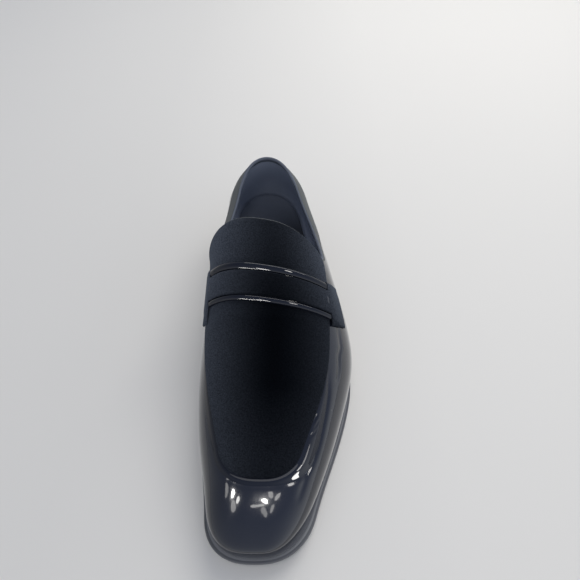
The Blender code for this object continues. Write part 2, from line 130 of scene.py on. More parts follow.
def stations(start, end, toe, toe_power, heel, heel_power, counts):
    """Share of the half width and place along the foot, round the toe, down the side and round the heel.

    Round an end the share is cos(turn)^(2 / power) and the depth sin(turn)^(2 / power), a superellipse.
    """
    n_toe, n_side, n_heel = counts
    turn = np.radians(np.linspace(90, 0, n_toe, endpoint=False))
    back = np.radians(np.linspace(0, 90, n_heel + 1))
    share = [np.cos(turn)**(2 / toe_power), np.ones(n_side), np.cos(back)**(2 / heel_power)]
    along = [start + toe * (1 - np.sin(turn)**(2 / toe_power)),
             np.linspace(start + toe, end - heel, n_side, endpoint=False),
             end - heel * (1 - np.sin(back)**(2 / heel_power))]
    share = np.concatenate(share)
    share[[0, -1]] = 0.0
    return share, np.concatenate(along)


def half_width(along, side):
    """Distance from the ridge to the widest line on one side."""
    ridge = spline(LAST, "ridge", along)
    return np.where(side > 0, spline(LAST, "lateral", along) - ridge, spline(LAST, "medial", along) + ridge)


def fan_centre(along):
    """Centre that a station's section runs to: the ridge, or the pole of the toe's or the heel's fan."""
    return np.clip(along, UPPER_START + TOE_FAN, UPPER_END - HEEL_FAN)


def last_band(share, along, height, side, inset=0.0):
    """Band under the widest line: drawn in by tuck (1 - height)^2, height from 0 at the feather to 1."""
    tuck = spline(LAST, "tuck", along) * (1 - height)**2 + inset
    half = half_width(along, side)
    centre = fan_centre(along)
    reach = np.where(along < centre, TOE_FAN, np.where(along > centre, HEEL_FAN, half))
    x = spline(LAST, "ridge", along) + side * share * (half - tuck)
    y = centre + (along - centre) * (1 - tuck / reach)
    z = feather(along) + spline(LAST, "rise", along) * height
    return np.stack(np.broadcast_arrays(x, y, z), -1)


def grid_quads(rows, columns, wrap=False, flip=False):
    """Corner numbers of every quad of a grid listed row by row; wrap joins its last column to its first."""
    index = np.arange(rows * columns).reshape(rows, columns)
    if wrap:
        index = np.hstack([index, index[:, :1]])
    quads = np.stack([index[:-1, :-1], index[:-1, 1:], index[1:, 1:], index[1:, :-1]], -1).reshape(-1, 4)
    return quads[:, ::-1] if flip else quads


def add_piece(name, points, quads, material, node=None):
    """A smooth mesh of quads, its coinciding points merged, that rides on the shoe's one body."""
    mesh = bpy.data.meshes.new(name)
    mesh.vertices.add(len(points))
    mesh.vertices.foreach_set("co", ((points - PLAN_CENTRE) * MM).astype(np.float32).ravel())
    mesh.loops.add(quads.size)
    mesh.loops.foreach_set("vertex_index", quads.astype(np.int32).ravel())
    mesh.polygons.add(len(quads))
    mesh.polygons.foreach_set("loop_start", np.arange(0, quads.size, 4, dtype=np.int32))
    mesh.update(calc_edges=True)
    work = bmesh.new()
    work.from_mesh(mesh)
    bmesh.ops.remove_doubles(work, verts=work.verts, dist=MERGE * MM)
    bmesh.ops.dissolve_degenerate(work, edges=work.edges, dist=SLIVER * MM)
    work.to_mesh(mesh)
    work.free()
    mesh.shade_smooth()
    mesh.set_sharp_from_angle(angle=np.radians(SHARP_EDGE))
    mesh.materials.append(material)
    piece = bpy.data.objects.new(name, mesh)
    bpy.context.scene.collection.objects.link(piece)
    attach(piece, "root")
    if node:
        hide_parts(node)
    return piece


def ring_solid(name, rings, material, node):
    """A closed solid through closed outlines of equal counts, filled at both ends by strips across."""
    rings = np.asarray(rings)
    levels, count = rings.shape[:2]
    i = np.arange(count // 2 - 1)
    across = np.stack([i, count - 1 - i, count - 2 - i, i + 1], -1)
    top = (levels - 1) * count + across[:, ::-1]
    quads = np.concatenate([grid_quads(levels, count, wrap=True), across, top])
    return add_piece(name, rings.reshape(-1, 3), quads, material, node)


def closed_outline(lateral, medial, along, height):
    """A closed ring: down the lateral side from toe to heel, and back up the medial side."""
    right = np.stack([lateral, along, height], -1)
    left = np.stack([medial, along, height], -1)
    return np.concatenate([right, left[::-1]])


def new_material(name, **values):
    """A Principled material with plain values on its sockets."""
    material = bpy.data.materials.new(name)
    material.use_nodes = True
    shader = material.node_tree.nodes["Principled BSDF"]
    for socket, value in values.items():
        shader.inputs[socket.replace("_", " ").title().replace("Ior", "IOR")].default_value = value
    return material


def feed(tree, socket, output):
    """Links an output to a socket of a material's Principled shader."""
    tree.links.new(output, tree.nodes["Principled BSDF"].inputs[socket])


def add_node(tree, kind, inputs=None, **settings):
    """A shader node with its settings, and values or links for its inputs."""
    made = tree.nodes.new(kind)
    for key, value in settings.items():
        setattr(made, key, value)
    for key, value in (inputs or {}).items():
        if isinstance(value, bpy.types.NodeSocket):
            tree.links.new(value, made.inputs[key])
        else:
            made.inputs[key].default_value = value
    return made


def blend_colour(tree, share, dark, light):
    """The colour between two, by a share."""
    mix = add_node(tree, "ShaderNodeMix", data_type="RGBA")
    tree.links.new(share, mix.inputs["Factor"])
    mix.inputs[6].default_value = (*dark, 1.0)
    mix.inputs[7].default_value = (*light, 1.0)
    return mix.outputs[2]


def spread_value(tree, share, low, high, start=0.0, end=1.0):
    """A value from low to high while the share goes from start to end."""
    inputs = {"Value": share, "From Min": start, "From Max": end, "To Min": low, "To Max": high}
    return add_node(tree, "ShaderNodeMapRange", inputs).outputs["Result"]


def bump_normal(tree, height, strength, distance):
    """A normal bent by a height, which is in parts of the distance."""
    inputs = {"Height": height, "Strength": strength, "Distance": distance}
    return add_node(tree, "ShaderNodeBump", inputs).outputs["Normal"]


def weigh(tree, kind, first, second, third=0.0):
    """One step of arithmetic on shader values."""
    return add_node(tree, "ShaderNodeMath", {0: first, 1: second, 2: third}, operation=kind).outputs[0]


def place_in(tree, space="Object"):
    """A point's place on its piece, or a direction in the room."""
    return add_node(tree, "ShaderNodeTexCoord").outputs[space]


def axes_of(tree, place):
    """The X, Y and Z of a place."""
    return add_node(tree, "ShaderNodeSeparateXYZ", {0: place}).outputs


def noise(tree, place, scale, detail, roughness=0.5):
    """Soft noise between 0 and 1."""
    inputs = {"Vector": place, "Scale": scale, "Detail": detail, "Roughness": roughness}
    return add_node(tree, "ShaderNodeTexNoise", inputs).outputs["Fac"]


def new_group(name, inputs, outputs):
    """An empty node group: values that go in, each with its start, and the names of those that come out."""
    group = bpy.data.node_groups.new(name, "ShaderNodeTree")
    for label, start in inputs.items():
        group.interface.new_socket(label, in_out="INPUT", socket_type="NodeSocketFloat").default_value = start
    for label in outputs:
        group.interface.new_socket(label, in_out="OUTPUT", socket_type="NodeSocketFloat")
    return group


def make_leather_grain():
    """Node group: pebbled grain from cells with creased edges, and slow mottling from soft noise."""
    group = new_group("leather_grain", {"Pebble Size": 700.0, "Mottle Size": 40.0}, ("Height", "Mottle"))
    sizes = add_node(group, "NodeGroupInput").outputs
    place = place_in(group)
    inputs = {"Vector": place, "Scale": sizes["Pebble Size"]}
    cells = add_node(group, "ShaderNodeTexVoronoi", inputs, feature="SMOOTH_F1").outputs["Distance"]
    height = weigh(group, "ADD", cells, noise(group, place, sizes["Pebble Size"], 4.0))
    mottle = noise(group, place, sizes["Mottle Size"], 3.0)
    add_node(group, "NodeGroupOutput", {"Height": height, "Mottle": mottle})
    return group


leather_grain = make_leather_grain()
FINE_GRAIN, GRAIN_DEPTH, FADE_MOTTLE = (900.0, 35.0), 0.0003, 0.1


def new_leather(name, tones, shine, sizes, bump, fade=None, **values):
    """Grained leather, whose tone goes by the mottling, or by a fade and a little mottling.

    Tones are the dark and the light one, shine is the range of roughness, and sizes are the grain's, in cells
    to the metre. A fade is painted shade, joining two spreads by arithmetic, each with its axis, full value,
    start and end.
    """
    material = new_material(name, **values)
    tree = material.node_tree
    inputs = dict(zip(("Pebble Size", "Mottle Size"), sizes))
    grain = add_node(tree, "ShaderNodeGroup", inputs, node_tree=leather_grain).outputs
    tone = grain["Mottle"]
    # Painted shade, where given, sets the tone, with a little mottling over it
    if fade:
        axes = axes_of(tree, place_in(tree))
        spreads = [spread_value(tree, axes[axis], 0.0, *run) for axis, *run in fade[1:]]
        tone = weigh(tree, "MULTIPLY_ADD", tone, FADE_MOTTLE, weigh(tree, fade[0], *spreads))
    feed(tree, "Base Color", blend_colour(tree, tone, *tones))
    feed(tree, "Roughness", spread_value(tree, grain["Mottle"], *shine))
    feed(tree, "Normal", bump_normal(tree, grain["Height"], bump, GRAIN_DEPTH))
    return material


def inside_ring(inset, height):
    """A closed ring inside the upper, inset from its outside, at a height over the welt's base."""
    share, along = stations(*UPPER_ENDS, SOCK_COUNTS)
    climb = np.clip((height - WELT_THICK - GAP) / spline(LAST, "rise", along), 0, 1)
    lateral, medial = [last_band(share, along, climb, side, inset) for side in (1, -1)]
    return closed_outline(lateral[:, 0], medial[:, 0], lateral[:, 1], welt_base(along) + height)


# Sock tones are spread by painted shade: darker to the front and low down, lighter to the heel and high up
SOCK_TONES = ((0.014, 0.016, 0.02), (0.09, 0.102, 0.128))
SOCK_PAINTED_SHADE = ("MAXIMUM", ("Y", 0.95, 0.095, 0.131), ("Z", 0.95, 0.045, 0.055))
sock_leather = new_leather("sock_leather", SOCK_TONES, (0.5, 0.65), FINE_GRAIN, 0.25, SOCK_PAINTED_SHADE)

# Insets of the sock's edge from the upper's inside, and heights over the welt's base
SOCK = [(0.6, 0.0), (0.6, 2.3), (0.2, 3.2), (0.1, 4.6), (0.5, 4.9), (1.6, 4.3), (3.4, 3.65),
        (6.0, INSOLE_THICK)]
rings = [inside_ring(WALL + inset, height) for inset, height in SOCK]
ring_solid("insole_sock", rings, sock_leather, "insole")

# Lining: smooth blue-grey leather, closed to a sleeve and drawn over the last inside the upper. Its colour
# holds painted shade: darker low down, lighter higher up and on the lateral side. It follows the upper's
# inside from the feather edge to the topline.
THROAT, THROAT_DEPTH = 170.0, 18.0
PATENT_WALL, LINING_GAP = 0.9, 0.05
LINING_COUNTS, LINING_ROWS = (24, 110, 30), (5, 36)
REACH_STEPS, EVEN_ROWS = 600, 0.78
TINY, TOUCHING = 1e-9, 1e-6

# Height of the topline behind the throat, and the share of its width by which each quarter leans in there
TOPLINE = table("along height lean_lateral lean_medial", [
    (170.0, 58.5, 0.0, 0.0), (190.0, 58.5, 0.03, 0.07), (215.0, 58.5, 0.10, 0.16), (240.0, 61.0, 0.16, 0.22),
    (265.0, 66.5, 0.21, 0.26), (285.0, 72.3, 0.20, 0.21), (295.0, 74.2, 0.18, 0.18),
])


def section_height(along, reach, flat):
    """z = widest + (crest - widest) (1 - reach^flat)^(1 / shoulder), reach 1 at the side, 0 at the ridge."""
    widest = feather(along) + spline(LAST, "rise", along)
    crest = spline(LAST, "crest", along)
    full = np.clip(1 - reach**flat, 0, 1)**(1 / spline(LAST, "shoulder", along))
    return widest + (crest - widest) * full


def last_dome(share, along, reach, side):
    """Points of each station's section from the widest line, reach 1, to the ridge or pole, reach 0.

    Round the toe and the heel both sides' powers run to their mean, so that they meet on the middle line. A
    quarter leans in by its lean times (height over the widest line / the topline's height over it)^3.
    """
    centre = fan_centre(along)
    y = centre + reach * (along - centre)
    name = "lateral" if side > 0 else "medial"
    mean = (spline(LAST, "flat_lateral", y) + spline(LAST, "flat_medial", y)) / 2
    z = section_height(y, reach, mean + share * (spline(LAST, "flat_" + name, y) - mean))
    widest = feather(y) + spline(LAST, "rise", y)
    behind = np.maximum(y, THROAT)
    climb = np.clip((z - widest) / (spline(TOPLINE, "height", behind) - widest), 0, 1)
    lean = spline(TOPLINE, "lean_" + name, behind) * climb**3
    x = spline(LAST, "ridge", y) + side * reach * share * half_width(y, side) * (1 - lean)
    return np.stack(np.broadcast_arrays(x, y, z), -1)


def top_reach(share, along, side):
    """Reach at which each station stops: the ridge in front of the throat, the topline's height behind it.

    Behind the throat's point the opening widens as a quarter ellipse.
    """
    reach = np.linspace(1.0, 0.0, REACH_STEPS)
    heights = last_dome(share[:, None], along[:, None], reach, side)[..., 2]
    topline = spline(TOPLINE, "height", np.maximum(along, THROAT))
    over = heights >= topline[:, None]
    first = np.maximum(over.argmax(1), 1)
    each = np.arange(len(first))
    below, above = heights[each, first - 1], heights[each, first]
    part = np.clip((topline - below) / np.maximum(above - below, TINY), 0, 1)
    crossing = reach[first - 1] + part * (reach[first] - reach[first - 1])
    at_topline = np.where(over.any(1), crossing, 0.0)
    opened = np.clip((along - THROAT) / THROAT_DEPTH, 0.0, 1.0)
    return at_topline * np.sqrt(1 - (1 - opened)**2)


def over_last(side, counts, band_rows, dome_rows):
    """Grid of the last on one side: stations by rows from the feather edge to the ridge or topline."""
    share, along = stations(*UPPER_ENDS, counts)
    band = last_band(share[:, None], along[:, None], np.linspace(0, 1, band_rows)[:-1], side)
    stop = top_reach(share, along, side)[:, None]
    rows = np.linspace(0, 1, dome_rows)
    lean = np.cos(np.pi / 2 * (EVEN_ROWS * rows + (1 - EVEN_ROWS) * rows**4))
    lean[-1] = 0.0
    dome = last_dome(share[:, None], along[:, None], stop + (1 - stop) * lean, side)
    return np.concatenate([band, dome], 1)


def unit(vectors):
    """Vectors divided by their lengths."""
    return vectors / np.maximum(np.linalg.norm(vectors, axis=-1, keepdims=True), TINY)


def grid_normals(grid, flip):
    """Unit normals of a grid of points: the cross product of its two directions, upwards at a pole."""
    normal = np.cross(np.gradient(grid, axis=0), np.gradient(grid, axis=1))
    sure = np.linalg.norm(normal, axis=-1, keepdims=True) > TINY
    normal = np.where(sure, unit(normal), (0, 0, -1.0 if flip else 1.0))
    return -normal if flip else normal


def lasted(counts, rows):
    """Lateral and medial grid of the last with their outward normals, which agree along the middle line."""
    grids = [over_last(side, counts, *rows) for side in (1, -1)]
    normals = [grid_normals(grids[0], False), grid_normals(grids[1], True)]
    meets = np.linalg.norm(grids[0] - grids[1], axis=-1) < TOUCHING
    middle = unit(normals[0] + normals[1])
    return grids, [np.where(meets[..., None], middle, normal) for normal in normals]


def two_sides(name, grids, material, node=None):
    """One piece from a lateral and a medial grid."""
    quads = [grid_quads(*grids[0].shape[:2], flip=True), grid_quads(*grids[1].shape[:2])]
    points = np.concatenate([g.reshape(-1, 3) for g in grids])
    quads[1] = quads[1] + len(points) // 2
    return add_piece(name, points, np.concatenate(quads), material, node)


def thicken(piece, thickness):
    """Gives an open surface its wall, inwards."""
    wall = piece.modifiers.new("wall", "SOLIDIFY")
    wall.thickness = thickness * MM
    wall.offset = -1.0
    wall.use_quality_normals = True


# Lining tones are spread by painted shade: lighter higher up and towards the lateral side
LINING_TONES = ((0.15, 0.169, 0.211), (0.43, 0.473, 0.572))
LINING_PAINTED_SHADE = ("ADD", ("Z", 0.85, 0.036, 0.07), ("X", 0.45, 0.0, 0.03))
lining_leather = new_leather("lining_leather", LINING_TONES, (0.45, 0.6), FINE_GRAIN, 0.25, LINING_PAINTED_SHADE)

grids, normals = lasted(LINING_COUNTS, LINING_ROWS)
grids = [grid - normal * (PATENT_WALL + LINING_GAP) for grid, normal in zip(grids, normals)]
lining = two_sides("lining", grids, lining_leather)
thicken(lining, WALL - PATENT_WALL - LINING_GAP)

# Vamp and quarters: black patent leather, a gloss film on split leather, lasted over the form and drawn
# under at the feather edge. Outside the roll round the apron it dips, and it has creased at the side.
APRON_FRONT, APRON_CAP, APRON_POWER, APRON_END = 38.7, 16.0, 2.6, 152.0
PANEL_MIDDLE, PANEL_SKEW = 3.0, 0.14
SEAM_DIP, SEAM_DIP_WIDTH, SEAM_DIP_AWAY = 1.0, 1.5, 0.4
UPPER_COUNTS, UPPER_ROWS, EDGE_ROWS = (44, 214, 44), (10, 56), (80, 160)
PARTS, ROLL_BLUR, WRINKLE_STEPS, WRINKLE_FADE = 40, 14, 60, 0.7

# Edges of the napped panel, apron and tongue alike
PANEL = table("along lateral medial", [
    (38.7, 21.3, 18.0), (56.0, 27.3, 22.4), (80.0, 36.3, 29.0), (105.0, 43.0, 35.0),
    (140.0, 45.4, 38.2), (170.0, 44.6, 37.8), (198.0, 41.5, 36.6),
])


def panel_line(along, width, across):
    """Plan of the panel: across from -1 at its medial edge to 1 at its lateral edge, skewed with the foot."""
    edge = np.where(across > 0, spline(PANEL, "lateral", along) - PANEL_MIDDLE,
                    spline(PANEL, "medial", along) + PANEL_MIDDLE)
    x = PANEL_MIDDLE + edge * width * across
    flat_end = APRON_FRONT + APRON_CAP
    skew = PANEL_SKEW * smooth_step((along - flat_end) / (APRON_END - flat_end))
    return x, along - skew * (x - PANEL_MIDDLE)


def apron_places(cap_rows, side_rows):
    """Places along the apron and the share of its width there: a superellipse at the front, then full."""
    turn = np.radians(np.linspace(90, 0, cap_rows, endpoint=False))
    width = np.concatenate([np.cos(turn)**(2 / APRON_POWER), np.ones(side_rows)])
    cap = APRON_FRONT + APRON_CAP * (1 - np.sin(turn)**(2 / APRON_POWER))
    width[0] = 0.0
    return np.concatenate([cap, np.linspace(APRON_FRONT + APRON_CAP, APRON_END, side_rows)]), width


def apron_edge():
    """Plan of the apron's edge, from its lateral end round the front to its medial end."""
    along, width = apron_places(*EDGE_ROWS)
    lateral = np.stack(panel_line(along, width, 1.0), -1)
    medial = np.stack(panel_line(along, width, -1.0), -1)
    return np.concatenate([lateral[::-1], medial[1:]])


def nearest_on(points, line):
    """Plan distance from each point to the nearest point of a line, and that point's number."""
    flat = points.reshape(-1, points.shape[-1])
    at = flat[:, 0] + 1j * flat[:, 1]
    marks = line[:, 0] + 1j * line[:, 1]
    which = np.concatenate([np.abs(part[:, None] - marks).argmin(1) for part in np.array_split(at, PARTS)])
    return np.abs(at - marks[which]).reshape(points.shape[:-1]), which.reshape(points.shape[:-1])


# Roll round the apron: its width and height, and the share of the dip outside it, by the run from the
# apron's front, medial below zero
ROLL_RUN = table("run width height dip", [
    (-110.0, 0.8, 0.0, 0.0), (-78.0, 1.2, 0.0, 0.0), (-55.0, 3.4, 0.4, 0.2), (-30.0, 4.0, 0.45, 0.2),
    (-8.0, 3.4, 0.4, 0.1), (0.0, 3.4, 0.4, 0.1), (9.0, 7.0, 1.3, 0.8), (22.0, 7.6, 1.4, 1.0),
    (34.0, 6.0, 1.2, 1.0), (46.0, 4.2, 1.0, 1.0), (54.0, 3.0, 0.7, 0.9), (60.0, 1.0, 0.1, 0.3),
    (68.0, 0.8, 0.0, 0.0), (110.0, 0.8, 0.0, 0.0),
])


def roll_size(line):
    """Width, height and dip of the roll at each point of the apron's edge, from its table and blurred."""
    run = (line[:, 1] - APRON_FRONT) * np.where(np.arange(len(line)) < np.argmin(line[:, 1]), 1.0, -1.0)
    sizes = [np.interp(run, ROLL_RUN["run"], ROLL_RUN[name]) for name in ("width", "height", "dip")]
    kernel = np.hanning(len(line) // ROLL_BLUR)
    kernel /= kernel.sum()
    reach = len(kernel)
    return [np.convolve(np.pad(size, reach, mode="edge"), kernel, "same")[reach:-reach] for size in sizes]


def wrinkle(grid, path, width, depth):
    """Depth of a soft trough along a path: depth exp(-(distance / width)^2), fading at the path's ends."""
    path = np.array(path, float)
    steps = np.linspace(0, len(path) - 1, WRINKLE_STEPS)
    line = np.stack([np.interp(steps, np.arange(len(path)), axis) for axis in path.T], -1)
    fade = np.sin(np.linspace(0, np.pi, WRINKLE_STEPS))**WRINKLE_FADE
    gap = np.linalg.norm(grid[..., None, :] - line, axis=-1)
    return (depth * fade * np.exp(-(gap / width)**2)).max(-1)


patent = new_material("patent_leather", coat_weight=1.0, coat_roughness=0.03, specular_ior_level=0.3)
tree = patent.node_tree
place = place_in(tree)
specks = add_node(tree, "ShaderNodeTexVoronoi", {"Vector": place, "Scale": 90.0}).outputs["Distance"]
dust = spread_value(tree, specks, 1.0, 0.0, 0.02, 0.045)
smear = noise(tree, place, 32.0, 5.0, 0.6)
bent = bump_normal(tree, noise(tree, place, 170.0, 2.0), 0.03, 0.001)
feed(tree, "Base Color", blend_colour(tree, dust, (0.006, 0.0075, 0.013), (0.05, 0.05, 0.05)))
feed(tree, "Roughness", spread_value(tree, smear, 0.1, 0.2, 0.35, 0.7))
feed(tree, "Normal", bent)
feed(tree, "Coat Normal", bent)

# Creases on the lateral side: path, width and depth
SIDE_WRINKLES = [
    ([(52.6, 137.0, 46.0), (53.0, 130.0, 44.5), (53.9, 121.0, 41.4), (52.0, 114.6, 41.4), (51.8, 106.0, 39.2),
      (50.0, 97.0, 37.6)], 1.3, 0.8),
    ([(31.5, 47.0, 33.0), (28.8, 40.3, 32.1), (26.4, 34.0, 31.2), (24.0, 28.0, 30.3)], 1.8, 0.5),
]
edge = apron_edge()
grids, normals = lasted(UPPER_COUNTS, UPPER_ROWS)
roll_width, _, roll_dip = roll_size(edge)
dips = []
for grid in grids:
    out, nearest = nearest_on(grid, edge)
    past_roll = (out - roll_width[nearest] - SEAM_DIP_AWAY) / SEAM_DIP_WIDTH
    dips.append(SEAM_DIP * roll_dip[nearest] * np.exp(-past_roll**2))
dips[0] += sum(wrinkle(grids[0], *crease) for crease in SIDE_WRINKLES)
grids = [grid - normal * dip[..., None] for grid, normal, dip in zip(grids, normals, dips)]
upper = two_sides("upper_patent", grids, patent, "upper")
thicken(upper, PATENT_WALL)
on_side = (upper, grids[0], grid_normals(grids[0], False))

# Collar: a strip of matte grey leather sewn on outside along the topline, narrower towards the throat, and
# the sock's leather folded over the edge, so that upper and lining end in one roll.
STRIP_OVER, STRIP_INSIDE, STRIP_SUNK = 0.35, 3.0, 0.1
STRIP_OUTSIDE, STRIP_FROM = (3.0, 9.0), (196.0, 222.0)
STRIP_DEPTHS = np.concatenate([[1.0, 0.97], np.linspace(0.9, 0.06, 12)])
COLLAR_COUNTS, COLLAR_STEPS, COLLAR_POINTS = (4, 800, 200), 240, 160
FOLD_FLAT, FOLD_STEPS = 0.9, 13


def even_line(line, count, guide=None):
    """A line of points resampled at equal lengths of itself, or of a guide line beside it."""
    steps = np.diff(line if guide is None else guide, axis=0)
    length = np.concatenate([[0.0], np.cumsum(np.linalg.norm(steps, axis=1))])
    at = np.linspace(0, length[-1], count)
    return np.stack([np.interp(at, length, column) for column in line.T], -1)


def collar_wall(side, depths):
    """A quarter's wall from the topline down, evenly along it: points by depth, normals, the way down."""
    share, along = stations(*UPPER_ENDS, COLLAR_COUNTS)
    behind = along > THROAT
    share, along = share[behind], along[behind]
    stop = top_reach(share, along, side)[:, None]
    reach = stop + (1 - stop) * np.linspace(0, 1, COLLAR_STEPS)**2
    wall = last_dome(share[:, None], along[:, None], reach, side)
    run = np.cumsum(np.linalg.norm(np.diff(wall, axis=1), axis=-1), axis=1)
    widening = smooth_step((along - STRIP_FROM[0]) / np.ptp(STRIP_FROM))
    deep = STRIP_OUTSIDE[0] + np.ptp(STRIP_OUTSIDE) * widening
    below = np.minimum((run[:, :, None] < deep[:, None, None] * depths).sum(1), COLLAR_STEPS - 1)
    points = np.take_along_axis(wall, below[..., None], 1)
    points = even_line(points.reshape(len(points), -1), COLLAR_POINTS, wall[:, 0])
    points = points.reshape(COLLAR_POINTS, -1, 3)
    normals = grid_normals(points, side < 0)
    down = np.cross(unit(np.gradient(points[:, 0], axis=0)), normals[:, 0])
    down *= np.where(down[:, 2:] > 0, -1.0, 1.0)
    return points, normals, down


def add_tube(name, rings, material, node=None, flip=False):
    """A piece through a row of closed outlines, with nothing across its ends."""
    quads = grid_quads(*rings.shape[:2], wrap=True, flip=flip)
    return add_piece(name, rings.reshape(-1, 3), quads, material, node)


STRIP_TONES = ((0.086, 0.091, 0.09), (0.108, 0.114, 0.112))
strip_leather = new_leather("strip_leather", STRIP_TONES, (0.5, 0.62), (800.0, 50.0), 0.12,
                            specular_ior_level=0.25)

halves = [collar_wall(side, np.append(STRIP_DEPTHS, 0.0)) for side in (1, -1)]
wall, normals, down = [np.concatenate([a[::-1], b[1:]]) for a, b in zip(*halves)]
over = np.full(len(STRIP_DEPTHS), STRIP_OVER)
over[0] = -STRIP_SUNK
rows = wall[:, :-1] + normals[:, :-1] * over[:, None]
rows = np.concatenate([rows, wall[:, [-2, 0]] - normals[:, [-2, 0]] * STRIP_SUNK], 1)
add_tube("collar_strip", rows, strip_leather)

middle, half = -WALL / 2, WALL / 2 + STRIP_OVER
turns = np.linspace(0, np.pi, FOLD_STEPS)
fold = [(middle + half * np.cos(turn), -FOLD_FLAT * half * np.sin(turn)) for turn in turns]
fold += [(middle - half, STRIP_INSIDE - 0.4), (middle - half + 0.35, STRIP_INSIDE), (middle, STRIP_INSIDE),
         (STRIP_OVER - 0.3, 0.8), (STRIP_OVER, 0.5)]
rows = np.stack([wall[:, -1] + normals[:, -1] * out + down * low for out, low in fold], 1)
# The fold lies high, so it takes the light end of the sock leather's painted shade
add_tube("collar_fold", rows, sock_leather)

# Apron: a plug of black velvet let into the vamp. Its edge is turned down into the seam, where the vamp's
# patent edge stands up round it as a roll.
LAY, NAP_THICK = 0.4, 1.3
TURN_DOWN, TURN_EDGE = 1.5, 0.7
PROBE = 0.2
PILE_COLUMNS, PILE_ROWS = 81, (46, 110)
PAINTED_SHEEN_HALF, PAINTED_SHEEN_MIDDLE = 0.0335, 0.03


def last_height(x, along):
    """Height of the last over its plan, with the reach a superellipse round the toe's and the heel's pole."""
    from_ridge = x - spline(LAST, "ridge", along)
    lateral = from_ridge > 0
    aside = np.abs(from_ridge) / half_width(along, np.where(lateral, 1, -1))
    ahead = np.clip((UPPER_START + TOE_FAN - along) / TOE_FAN, 0, 1)
    behind = np.clip((along - UPPER_END + HEEL_FAN) / HEEL_FAN, 0, 1)
    reach = np.where(along < UPPER_START + TOE_FAN, (aside**TOE_POWER + ahead**TOE_POWER)**(1 / TOE_POWER),
                     (aside**HEEL_POWER + behind**HEEL_POWER)**(1 / HEEL_POWER))
    reach = np.where((ahead == 0) & (behind == 0), aside, reach)
    flat = np.where(lateral, spline(LAST, "flat_lateral", along), spline(LAST, "flat_medial", along))
    return section_height(along, np.clip(reach, 0, 1), flat)


def on_last(x, along, lift):
    """Points over the plan, raised by a lift along the surface's normal."""
    x, along, lift = np.broadcast_arrays(x, along, lift)
    slope_x = (last_height(x + PROBE, along) - last_height(x - PROBE, along)) / (2 * PROBE)
    slope_y = (last_height(x, along + PROBE) - last_height(x, along - PROBE)) / (2 * PROBE)
    normal = unit(np.stack([-slope_x, -slope_y, np.ones_like(slope_x)], -1))
    return np.stack([x, along, last_height(x, along)], -1) + normal * lift[..., None]


def cushion_edge(distance, turn_down):
    """Share of a pile's full height at a distance from its edge: a quarter round over the turn-down."""
    return np.sqrt(1 - (1 - np.clip(distance / turn_down, 0, 1))**2)


def pile_solid(name, top, under, node):
    """A closed skin of velvet between a top grid and an under grid, rows along and columns across."""
    rows, columns = top.shape[:2]
    grid = np.concatenate([top, under[:, ::-1]], 1)
    i = np.arange(columns - 1)
    front = np.stack([i, 2 * columns - 1 - i, 2 * columns - 2 - i, i + 1], -1)
    back = (rows - 1) * 2 * columns + front[:, ::-1]
    quads = np.concatenate([grid_quads(rows, 2 * columns, wrap=True), front, back])
    return add_piece(name, grid.reshape(-1, 3), quads, velvet, node)


def add_shares(tree, total, *parts):
    """A value with shares added to it, each times its weight."""
    for share, weight in parts:
        total = weigh(tree, "MULTIPLY_ADD", share, weight, total)
    return total


def make_painted_sheen():
    """Node group: a painted sheen of the velvet, and the fine unevenness of its tufts.

    Light = floor + side (x / 33.5 mm)^2 is painted sheen: dark in the middle, lighter down the sides. Floor
    and side grow over the strap and the tongue, and the floor also at the front.
    """
    group = new_group("painted_velvet_sheen", {}, ("Light", "Tufts"))
    place = place_in(group)
    axes = axes_of(group, place)
    runs = ((-0.06, -0.1), (-0.018, 0.005), (0.005, 0.04))
    front, strap, tongue = [spread_value(group, axes["Y"], 0.0, 1.0, *run) for run in runs]
    floor = add_shares(group, 0.016, (front, 0.08), (strap, 0.045), (tongue, 0.08))
    medial = add_shares(group, 0.3, (strap, 0.07), (tongue, 0.11))
    lateral = add_shares(group, 0.16, (strap, 0.18), (tongue, 0.27))
    aside = weigh(group, "MULTIPLY_ADD", axes["X"], 1 / PAINTED_SHEEN_HALF, PAINTED_SHEEN_MIDDLE)
    which = weigh(group, "GREATER_THAN", aside, 0.0)
    side = add_node(group, "ShaderNodeMix", {"Factor": which, "A": medial, "B": lateral}).outputs["Result"]
    light = weigh(group, "MULTIPLY_ADD", weigh(group, "MULTIPLY", aside, aside), side, floor)
    add_node(group, "NodeGroupOutput", {"Light": light, "Tufts": noise(group, place, 1300.0, 3.0, 0.7)})
    return group


velvet = new_material("black_velvet", roughness=1.0, specular_ior_level=0.0, sheen_weight=0.09,
                      sheen_roughness=0.4, sheen_tint=(0.8, 0.9, 1.0, 1.0))
tree = velvet.node_tree
pile = add_node(tree, "ShaderNodeGroup", node_tree=make_painted_sheen()).outputs
flecks = spread_value(tree, pile["Tufts"], 0.42, 1.58, 0.3, 0.7)
# Base colour: the painted sheen times random flecks
tone = weigh(tree, "MULTIPLY", pile["Light"], flecks)
feed(tree, "Base Color", blend_colour(tree, tone, (0.0003, 0.0006, 0.0012), (0.082, 0.093, 0.114)))
feed(tree, "Normal", bump_normal(tree, pile["Tufts"], 0.5, 0.0006))

across = np.sin(np.linspace(-np.pi / 2, np.pi / 2, PILE_COLUMNS))
along, width = apron_places(*PILE_ROWS)
x, y = panel_line(along[:, None], width[:, None], across)
inside = nearest_on(np.stack([x, y], -1), edge)[0]
pile_top = LAY + TURN_EDGE + (NAP_THICK - TURN_EDGE) * cushion_edge(inside, TURN_DOWN)
pile_solid("apron_velvet", on_last(x, y, pile_top), on_last(x, y, LAY), "apron")

# Rolled edge: the vamp's own patent edge over a filler, drawn up round the apron: broad on the lateral side,
# low on the medial one, and flat towards the strap. It has puckered a little on the lateral side.
ROLL_POINTS, ROLL_COLUMNS, ROLL_CREST, ROLL_SMOOTHING = 560, 44, 20, 3
ROLL_UNDER, ROLL_LEAST = -0.9, 0.02

